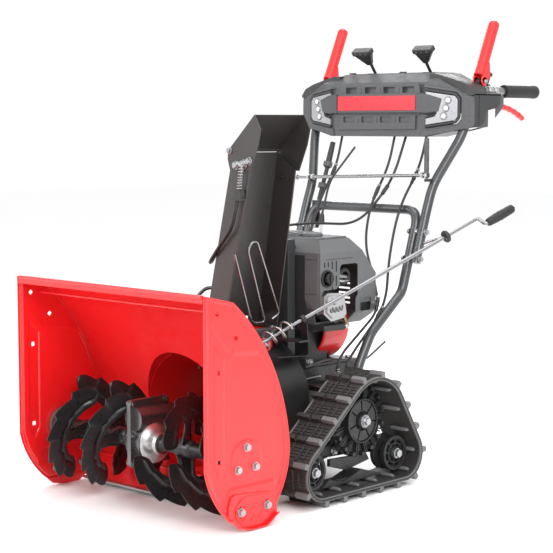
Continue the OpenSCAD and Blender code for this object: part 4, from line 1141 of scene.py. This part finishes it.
LEG = [(188, 675.5, 244.8), (188, 686, 295), (188, 736, 376), (188, 862, 473), (188, 921, 655),
       (178, 929, 679), (154, 931.6, 687)]
BAR_X, BAR_Z = 268.0, 1002.0
FRAME_R, BAR_R = 12.7, 11.0
UPPER = [(214, 886, 550), (214, 932, 690), (214, 957, 753), (262, 1020, 884), (267, 1044, 950)]
BAR = [(267.1, 1044.7, 952.6), (BAR_X, 1058, BAR_Z), (BAR_X, 1342, BAR_Z)]
path = fillet(LEG, 18, 5)
Piece().add(tube(path + [Vector((-p.x, p.y, p.z)) for p in reversed(path)], FRAME_R, 24), FRAME).done(
    "lower_handle_frame", "grey_paint", ["lower_frame"])
uppers = Piece().pair(tube(fillet(UPPER, 34, 8), FRAME_R, 24), FRAME)
for p in HANDLE_BOLTS:
    uppers.pair(tube([(198, *p), (204, *p)], 9, 18), ZINC)
uppers.done("upper_handle_tubes", "grey_paint", ["upper_handles"])
bars = Piece().pair(tube(fillet(BAR, 34, 10), BAR_R, 24), CHROME)
bars.done("bright_handlebars", "bright_steel", ["handlebars"])

grips = Piece()
profile = [(0, 11.2), (0, 17), (1.5, 18), (5, 18), (7, 16.6)]
for k in range(20):
    profile += [(z + 6.3 * k, r) for z, r in ((9, 16), (10.5, 17), (13, 17), (14.5, 16))]
profile += [(136, 16.6), (138, 18), (149, 18), (151.5, 16), (152, 12), (152, 0)]
grips.pair(lathe(profile, 36), GRIP, place((BAR_X, 1196, BAR_Z), AY))
grips.done("ribbed_grips", "grip_rubber", ["hand_grips"], bevel=0.3)

cross = Piece()
cross.add(tube([(206, 942.5, 779), (-262, 942.5, 763)], 5, 16), CHROME)
for x, z in ((205, 779), (190, 778.5), (-200, 765), (-216, 764.5), (-262, 763)):
    cross.add(lathe([(-4, 8.5), (4, 8.5)], 6), ZINC, place((x, 942.5, z), AX))
cross.add(prism(rounded(15, 104, 5, 5, (204, 826)), 3), FRAME, xz(943.7))
cross.pair(block((200, 937.5, 762), (219, 947, 770)), BLACK)
cross.add(ring([(-5, 9), (-5, 15), (-2, 17), (2, 17), (5, 15), (5, 9)], 36), BLACK,
          place(CRANK_E, CRANK_D))
cross.add(sleeve(-3, 3, 5.4, 9.4, 24), ZINC, place(CRANK_E, CRANK_D))
cross.add(tube([(228.9, 903, 602), (268, 911, 616), (281, 915, 620)], 4, 14), ZINC)
cross.done("cross_rod_and_eye", "bright_steel", ["cross_rod"], bevel=0.4)

tool = Piece()
tool.add(tube([(-184, 1010, 862), (-184, 985, 790)], 9.2, 20, taper=lambda t: 0.8 + 0.2 * min(1, 6 * t)),
         BLACK)
tool.add(tube([(-184, 985, 790), (-184, 950, 700)], 6, 16), BLACK)
tool.add(prism([(-196, 700), (-172, 700), (-168, 640), (-176, 622), (-192, 622), (-200, 640)], 5), BLACK,
         xz(940))
for z, y in ((800, 988), (740, 966)):
    tool.add(sleeve(-7, 7, 9.4, 13, 24), GREY, place((-184, y, z), (0, 0.33, 1)))
tool.done("clearing_tool", "black_plastic", ["clean_out_tool"], bevel=0.8)

CABLES = [
    [(40, 1012, 885), (40, 985, 800), (40, 905, 690), (44, 880, 590), (104, 848, 505), (157, 808, 430),
     (157, 660, 330), (157, 640, 300), (157, 640, 242.5)],
    [(150, 1012, 885), (148, 985, 800), (142, 903, 690), (136, 872, 565), (168, 820, 440), (168, 690, 330),
     (168, 662, 300), (168, 650, 243.5)],
    [(-150, 1012, 885), (-148, 985, 800), (-146, 903, 690), (-160, 820, 440), (-160, 690, 330),
     (-160, 650, 300), (-160, 650, 242.5)]]
cables = Piece()
for run in CABLES:
    smooth = fillet(run, 60, 9)
    cables.add(tube(smooth, 3.4, 12), CABLE)
    for share in (0.16, 0.62):
        k = int(len(smooth) * share)
        d = smooth[k + 1] - smooth[k]
        cables.add(lathe([(-16, 3.5), (-14, 5.6), (8, 5.6), (10, 4.6), (22, 4.6), (24, 3.5)], 20), BLACK,
                   place(smooth[k], d))
        cables.add(lathe([(-24, 6.4), (-18, 6.4)], 6), ZINC, place(smooth[k], d))
    a, b = Vector(run[-2]), Vector(run[-1])
    cables.add(tube(spiral((a + b) / 2, 5.4, 8, 44, tuple(b - a), 14), 1.1, 8), ZINC)
cables.done("clutch_cables", "cable_sheath", ["control_cables"], bevel=0.4)

run = fillet([(80, 1012, 885), (74, 960, 760), (38, 860, 645), (-14, 702, 655), (-70, 584, 640),
              (-76, 520, 640), (-59.9, 456.6, 640)], 60, 14)
flex = Piece().add(tube(run, 3.5, 12), CABLE)
flex.add(lathe([(-18, 3.6), (-16, 5.6), (12, 5.6), (14, 3.6)], 20), BLACK,
         place(run[12], run[13] - run[12]))
flex = flex.object("deflector_cable_run")
flex.data.shade_smooth()
flex.data.set_sharp_from_angle(angle=math.radians(50))
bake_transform(flex)
stand_for(["deflector_cable"])


# ---- console ----

DASH_Y = 983.4    # front plane of the console's recessed face
panel = Piece()
tops = [rounded(40, 17, 2, 3, (x, 1006)) for x in (-90, -22, 44, 110)]
lows = [rounded(40, 16, 2, 3, (x, 926)) for x in (-99, -33, 33, 99)]
panel.add(prism([(-121, 1024), (146, 1024), (150, 998), (150, 940), (136, 936), (134, 900), (-140, 898),
                 (-134, 940), (-140, 998)],
                4.5, tops + lows), GREY, xz(DASH_Y))
for w, h, r, z, xs in ((6, 15, 2.4, 1006, (-56, 11, 77)), (5, 14, 2, 926, (-66, 0, 66))):
    for x in xs:
        panel.add(prism(rounded(w, h, r, 3, (x, z)), 6), GREY, xz(DASH_Y))
panel.add(prism([(-139, 945), (141, 945), (144, 995), (-135, 995)], 9), GREY, xz(984))
# dark strip along the band's lower edge: painted shade under the band
panel.add(prism([(-139, 938), (141, 938), (141, 945), (-139, 945)], 6), GREY_DARK, xz(984))


front = [(140, 974, 995), (172, 976, 993), (214, 988, 981), (206, 988, 948), (172, 976, 944),
         (140, 974, 945)]
back = [(140, 1000, 1000), (174, 1002, 998), (222, 1012, 984), (212, 1012, 936), (172, 1002, 930),
        (140, 1000, 936)]
panel.pair(between(front, back), GREY)
# thin dark sheets under the end blocks: painted shade on their undersides
painted_underside_shade = [(142, 978, 944.4), (172, 979, 943.4), (205, 990, 947.4), (211, 1010, 935), (172, 1001, 929),
         (142, 999, 935)]
panel.pair(between(painted_underside_shade, [(x, y, z - 1.6) for x, y, z in painted_underside_shade]), GREY_DARK)
# rear wings over the handlebars, with a seam
wing = [(1016, 993), (1134, 993), (1131, 966), (1118, 957), (1071, 949), (1060, 916), (1036, 906),
        (1016, 906)]
panel.pair(prism(wing, 4), GREY_DARK, yz(300))
panel.pair(prism([(158, 1047), (186, 1047), (262, 1026), (290, 1014), (304, 996), (304, 989), (286, 989),
                  (240, 1004), (158, 1036)],
                62), GREY_DARK, xz(1072))
panel.pair(prism([(232, 1011), (262, 1003), (290, 998), (304, 994), (304, 989), (286, 989), (232, 1004)],
                 64), GREY_DARK,
          xz(1136))
panel.pair(prism([(1036, 990), (1038.5, 990), (1038.5, 908), (1036, 908)], 1.2), BLACK, yz(304))
panel.add(prism([(-150, 1054), (150, 1054), (156, 1050), (-156, 1050)], 90), GREY_DARK, xz(1142))
for x in (-98, 98):
    panel.add(block((x - 7, 1066, 1051), (x + 7, 1138, 1055.5)), BLACK)
for x in (-120, 60):
    panel.add(prism(rounded(22, 7, 2, 3), 4), BLACK, place((x, 1020, 1052), AZ))
panel.done("console_panels", "grey_plastic", bevel=1.6)

badge = Piece().add(prism(rounded(274, 39, 1.5, 4, (2, 970.5)), 3), BADGE, xz(975.2))
badge.done("badge_plate", "badge_red", ["console_badge"], bevel=0.8)

lamps = Piece()
LAMP_C = [(-46, 42), (38, 30), (46, 20), (46, -24), (38, -34), (-46, -46), (-46, -30), (-20, -24),
          (-14, -16), (-14, 14), (-20, 22), (-46, 28)]
lamp_at = move(213, 996.5, 958) @ turn(13.4) @ xz(0)
lamps.pair(prism([(44, 44), (74, 33), (92, 28), (93, 10), (93, -44), (88, -54), (40, -60), (-58, -78),
                  (-56, -60), (44, -46),
                 (58, -31), (58, 26)], 5), GREY, lamp_at @ move(0, 0, -2))
lamps.pair(prism(LAMP_C, 6), LAMP, lamp_at)
for outline, z, corner, r, n, mat in (
        ([(-48, 47), (40, 34.5), (50, 22), (50, -26), (40, -38.5), (-48, -51)], 3, 3, 3.8, 12, GREY_DARK),
        ([(-52, 56), (43, 42), (58, 26), (58, -31), (44, -46), (-54, -60)], 1, 4, 3.2, 12, GREY),
        ([(-46, 24), (-22, 18), (-17, 11), (-17, -13), (-22, -20), (-46, -26)], 4, 3, 2.4, 10, GREY_DARK)):
    lamps.pair(tube(fillet([(*p, z) for p in outline], corner, 4), r, n), mat, lamp_at)
for i in (-1, 0, 1):
    spot = lamp_at @ move(12 + 6 * i, i * 21 - 2, 6)
    lamps.pair(ring([(-1, 7), (-1, 10), (1.6, 10.4), (2.6, 9), (0.6, 7)], 36), CHROME, spot)
    lamps.pair(lathe([(-1, 0), (-1, 7.6), (1.4, 7.2), (3.6, 5), (4.8, 2.4), (5.1, 0)], 30), LENS, spot)
lamps.done("lamp_clusters", "lamp_plastic", ["headlamps"], bevel=1.0)


# ---- levers ----

# pivots on the handlebars and in the console
CLUTCH_YZ, TRIGGER_YZ, THROTTLE_YZ = (1088, 1027), (1128, 966), (1152, 1016)
SHIFT_PIVOT = (98, 1136, 1001)

BLADE_BASE, BLADE_TIP = Vector((BAR_X, 1086, 1042)), Vector((BAR_X, 1146, 1176))
BLADE_D = (BLADE_TIP - BLADE_BASE).normalized()
BLADE_LEN = (BLADE_TIP - BLADE_BASE).length + 15
BLADE_SHARES = np.concatenate([np.linspace(0, 0.93, 30), np.linspace(0.94, 1, 10)])


def swell(t):
    """Share of the blade's full radius at one of its stations: wider foot, rounded tip."""
    share = BLADE_SHARES[round(t * (len(BLADE_SHARES) - 1))]
    end = math.sqrt(max(1 - max(0.0, (share - 0.925) / 0.076) ** 2, 0.0))
    return max(end, 0.02) * (1 + 0.12 * math.exp(-share * 14))


for name, cad, body, mirrored in (("right_clutch", "auger_clutch_lever", "auger_lever", True),
                                  ("left_clutch", "drive_clutch_lever", "drive_lever", False)):
    lever = Piece()
    stations = [BLADE_BASE + BLADE_D * BLADE_LEN * share for share in BLADE_SHARES]
    lever.add(tube(stations, 15, 32, taper=swell), LEVER_RED)
    for k in range(11):
        p = BLADE_BASE + BLADE_D * (30 + 10.5 * k)
        for s in (-1, 1):
            lever.add(tube([p + Vector((s * 14.2, -5, 2)), p + Vector((s * 14.6, 3, -2))], 2.2, 10),
                      LEVER_RED)
    for x in (252, 280):
        lever.add(prism([(1078, 1022), (1099, 1022), (1113, 1044), (1110, 1078), (1090, 1064),
                         (1077, 1036)], 4), LEVER_RED, yz(x))
        lever.add(sleeve(0, 4, 4.2, 12, 30), LEVER_RED,
                  place((x, *CLUTCH_YZ), AX))
    lever.add(block((253, 1094, 1045), (283, 1111, 1060)), LEVER_RED)
    lever.done(f"{name}_blade", "lever_red", [cad], bevel=1.4, flip=mirrored, body=body)

for name, cad, body, mirrored in (("speed", "speed_lever", "speed_selector", False),
                                  ("deflector", "deflector_lever", "deflector_selector", True)):
    lever = Piece()
    knob = move(98, 1060, 1098) @ turn(38, "X")
    lever.add(prism(rounded(66, 25, 6, 5, (10, 0.5)), 12), BLACK, knob @ move(0, 0, 15))
    lever.add(prism(rounded(60, 19, 5, 5, (10, 0.5)), 2.2), GREY, knob @ move(0, 0, 26))
    for x in (-8, 10, 28):
        lever.add(prism(rounded(8, 6, 2.6, 4, (x, -10.6)), 4), GREY, knob @ move(0, 0, 19))
    top = [(*p, 16) for p in rounded(60, 21, 5, 3, (10, 0.5))]
    foot = [(*p, -20) for p in rounded(15, 13, 3, 3, (2, 0))]
    lever.add(between(top, foot), BLACK, knob)
    lever.add(tube([SHIFT_PIVOT, (98, 1090, 1060), (98, 1066, 1091)], 4.2, 16), BLACK)
    lever.add(sleeve(-7, 7, 4.1, 8, 28), BLACK, place(SHIFT_PIVOT, AX))
    lever.done(f"{name}_shift_knob", "black_plastic", [cad], bevel=1.2, flip=mirrored, body=body)

def trigger_width(t):
    """Share of the trigger's radius along it: thin root, finger waves, rounded end."""
    end = 1 if t < 0.96 else math.sqrt(max(1 - ((t - 0.96) / 0.041) ** 2, 0.02))
    return (0.72 + 0.28 * min(1, 5 * t) + 0.06 * math.cos(t * 44)) * end


for name, mirrored in SIDES:
    curve = [(BAR_X, *p) for p in arc((1160, 700), 262, 97, 60, 60)]
    trigger = Piece().add(tube(curve, 7.6, 20, taper=trigger_width), LEVER_RED)
    trigger.add(sleeve(-6, 6, 4.1, 8, 28), LEVER_RED, place((BAR_X, *TRIGGER_YZ), AX))
    trigger.done(f"{name}_finger_trigger", "lever_red", [f"{name}_trigger"],
                 bevel=0.6, angle=50, flip=mirrored, body=f"{name}_steering_trigger")

small = Piece()
small.add(sleeve(0, 8.8, 3.1, 6, 24), BLACK, place((240, *THROTTLE_YZ), AX))
small.add(tube(fillet([(244, 1152, 1020), (244, 1159, 1032), (244, 1166, 1046)], 4, 4), 3.6, 14), BLACK)
small.add(prism(rounded(9, 22, 3, 4), 8), BLACK, place((244, 1162, 1046), (0, 0.45, 1)))
small.done("throttle_paddle", "black_plastic", ["throttle_lever"], bevel=1.0, body="throttle")

clamps = Piece()
for y, wide, r in ((1078, 20, 15), (1118, 20, 13.2), (1144, 16, 13.2)):
    clamps.pair(ring([(0, 11.05), (0, r - 1), (1, r), (wide - 1, r), (wide, r - 1), (wide, 11.05)], 40),
               BLACK_PAINT if y < 1100 else SILVER, place((BAR_X, y, BAR_Z), AY))
clamps.pair(block((263, 1079, 1014), (273, 1097, 1027)), BLACK_PAINT)
clamps.pair(lathe([(0, 0), (0, 9), (10, 9), (10, 0)], 32), BLACK_PAINT, place((263, *CLUTCH_YZ), AX))
for x in (256, 275):
    clamps.pair(prism([(1119, 992), (1137, 992), (1137, 964), (1134, 958), (1122, 958), (1119, 964)], 5),
                BLACK_PAINT, yz(x))
for y, z, a, b in ((*CLUTCH_YZ, 250, 286), (*TRIGGER_YZ, 256, 280)):
    clamps.pair(tube([(a, y, z), (b, y, z)], 4, 16), ZINC)
    for x, way in ((a, -1), (b, 1)):
        for mesh in bolt(5):
            clamps.pair(mesh, ZINC, place((x - way * 0.3, y, z), (way, 0, 0)))
clamps.add(prism([(1146, 998), (1158, 998), (1158, 1013), (1152, 1021), (1146, 1013)], 6), BLACK, yz(249))
clamps.add(tube([(x, *THROTTLE_YZ) for x in (238, 256)], 3, 14), ZINC)
clamps.add(tube([(-112, 1136, 1001), (112, 1136, 1001)], 4, 14), ZINC)
clamps.pair(block((140, 1128, 995), (144, 1144, 1047)), BLACK_PAINT)
clamps.add(block((62, 500, 371.8), (154, 532, 376.8)), BLACK_PAINT)
clamps.done("lever_clamps", "black_paint", ["brackets"], bevel=0.5)


# ---- carried-over CAD nodes ----

CARRIED = (
    (RED, 0.8, "housing_shell"),
    (WORN, 0.8, "scraper_bar"),
    (CAST, 1.2, "shaft_bearings transmission_case"),
    (STEEL_BOX, 1.2, "auger_gearbox"),
    (SHAFT, 0.4, "auger_shaft impeller_shaft"),
    (BRONZE, 0.4, "worm_wheel"),
    (IRON, 0.4, "impeller_pulley engine_pulley belt_tensioner"),
    (BELT, 0.6, "drive_belt"),
    (SILVER, 0.8, "impeller"),
    (GREY_DARK, 2.5, "belt_cover"),
    (BLACK_PAINT, 1.0, "chassis_box track_frames engine_block"),
    (STEEL_DARK, 0.6, "chute_body deflector"),
    (GREY, 2.0, "console_body"),
)
WELD_M, FLAT_DEGREES = 0.00002, 0.6
for material, bevel, names in CARRIED:
    for name in names.split():
        obj = NODES[name]
        obj.data.materials.clear()
        obj.data.materials.append(material)
        obj.modifiers.new("weld", "WELD").merge_threshold = WELD_M
        mod = obj.modifiers.new("flat", "DECIMATE")
        mod.decimate_type = "DISSOLVE"
        mod.angle_limit = math.radians(FLAT_DEGREES)
        soften(obj, bevel)


# ---- camera, light and floor ----

AZIMUTH, DOWN = math.radians(43.283), math.radians(5.715)
CAMERA_AT = (2.7251, -2.9138, 0.9199)
FOCAL_MM, SENSOR_MM = 100.63, 36.0


def aimed(name, data, at, direction):
    """Object that looks along direction from at."""
    obj = bpy.data.objects.new(name, data)
    link(obj)
    obj.matrix_world = Matrix.Translation(at) @ direction.to_track_quat("-Z", "Y").to_matrix().to_4x4()
    return obj


def lamp(name, at, aim, size, power):
    light = bpy.data.lights.new(name, "AREA")
    light.shape = "RECTANGLE"
    light.size, light.size_y = size
    light.energy = power
    aimed(name, light, at, Vector(aim) - Vector(at))


camera_data = bpy.data.cameras.new("camera")
camera_data.lens, camera_data.sensor_width = FOCAL_MM, SENSOR_MM
level = math.cos(DOWN)
look = Vector((-math.sin(AZIMUTH) * level, math.cos(AZIMUTH) * level, -math.sin(DOWN)))
bpy.context.scene.camera = aimed("camera", camera_data, CAMERA_AT, look)
lamp("key_light", (3.2, -2.2, 2.6), (0, 0, 0.5), (1.8, 1.8), 95)
lamp("front_light", (-1.6, -3.4, 1.9), (0, -0.3, 0.4), (2.2, 1.6), 60)
lamp("rim_light", (-2.4, 2.8, 2.6), (0, 0, 0.6), (2.2, 1.4), 60)
lamp("top_light", (0.3, 0.2, 3.6), (0, 0, 0), (2.6, 2.6), 60)

world = bpy.data.worlds.new("studio")
world.use_nodes = True
background = world.node_tree.nodes["Background"].inputs
background["Color"].default_value = (1, 1, 1, 1)
background["Strength"].default_value = 1.02
bpy.context.scene.world = world
bpy.context.scene.view_settings.view_transform = "Standard"

floor_mat = paint("floor_paint", (0.96, 0.96, 0.96), 0.8, blotch=0.02, dark=0.99)
floor_mesh = bpy.data.meshes.new("floor")
corners = [(x * 14, y * 14, 0) for x, y in ((-1, -1), (1, -1), (1, 1), (-1, 1))]
floor_mesh.from_pydata(corners, [], [(0, 1, 2, 3)])
floor_mesh.materials.append(floor_mat)
floor = bpy.data.objects.new("floor", floor_mesh)
link(floor)
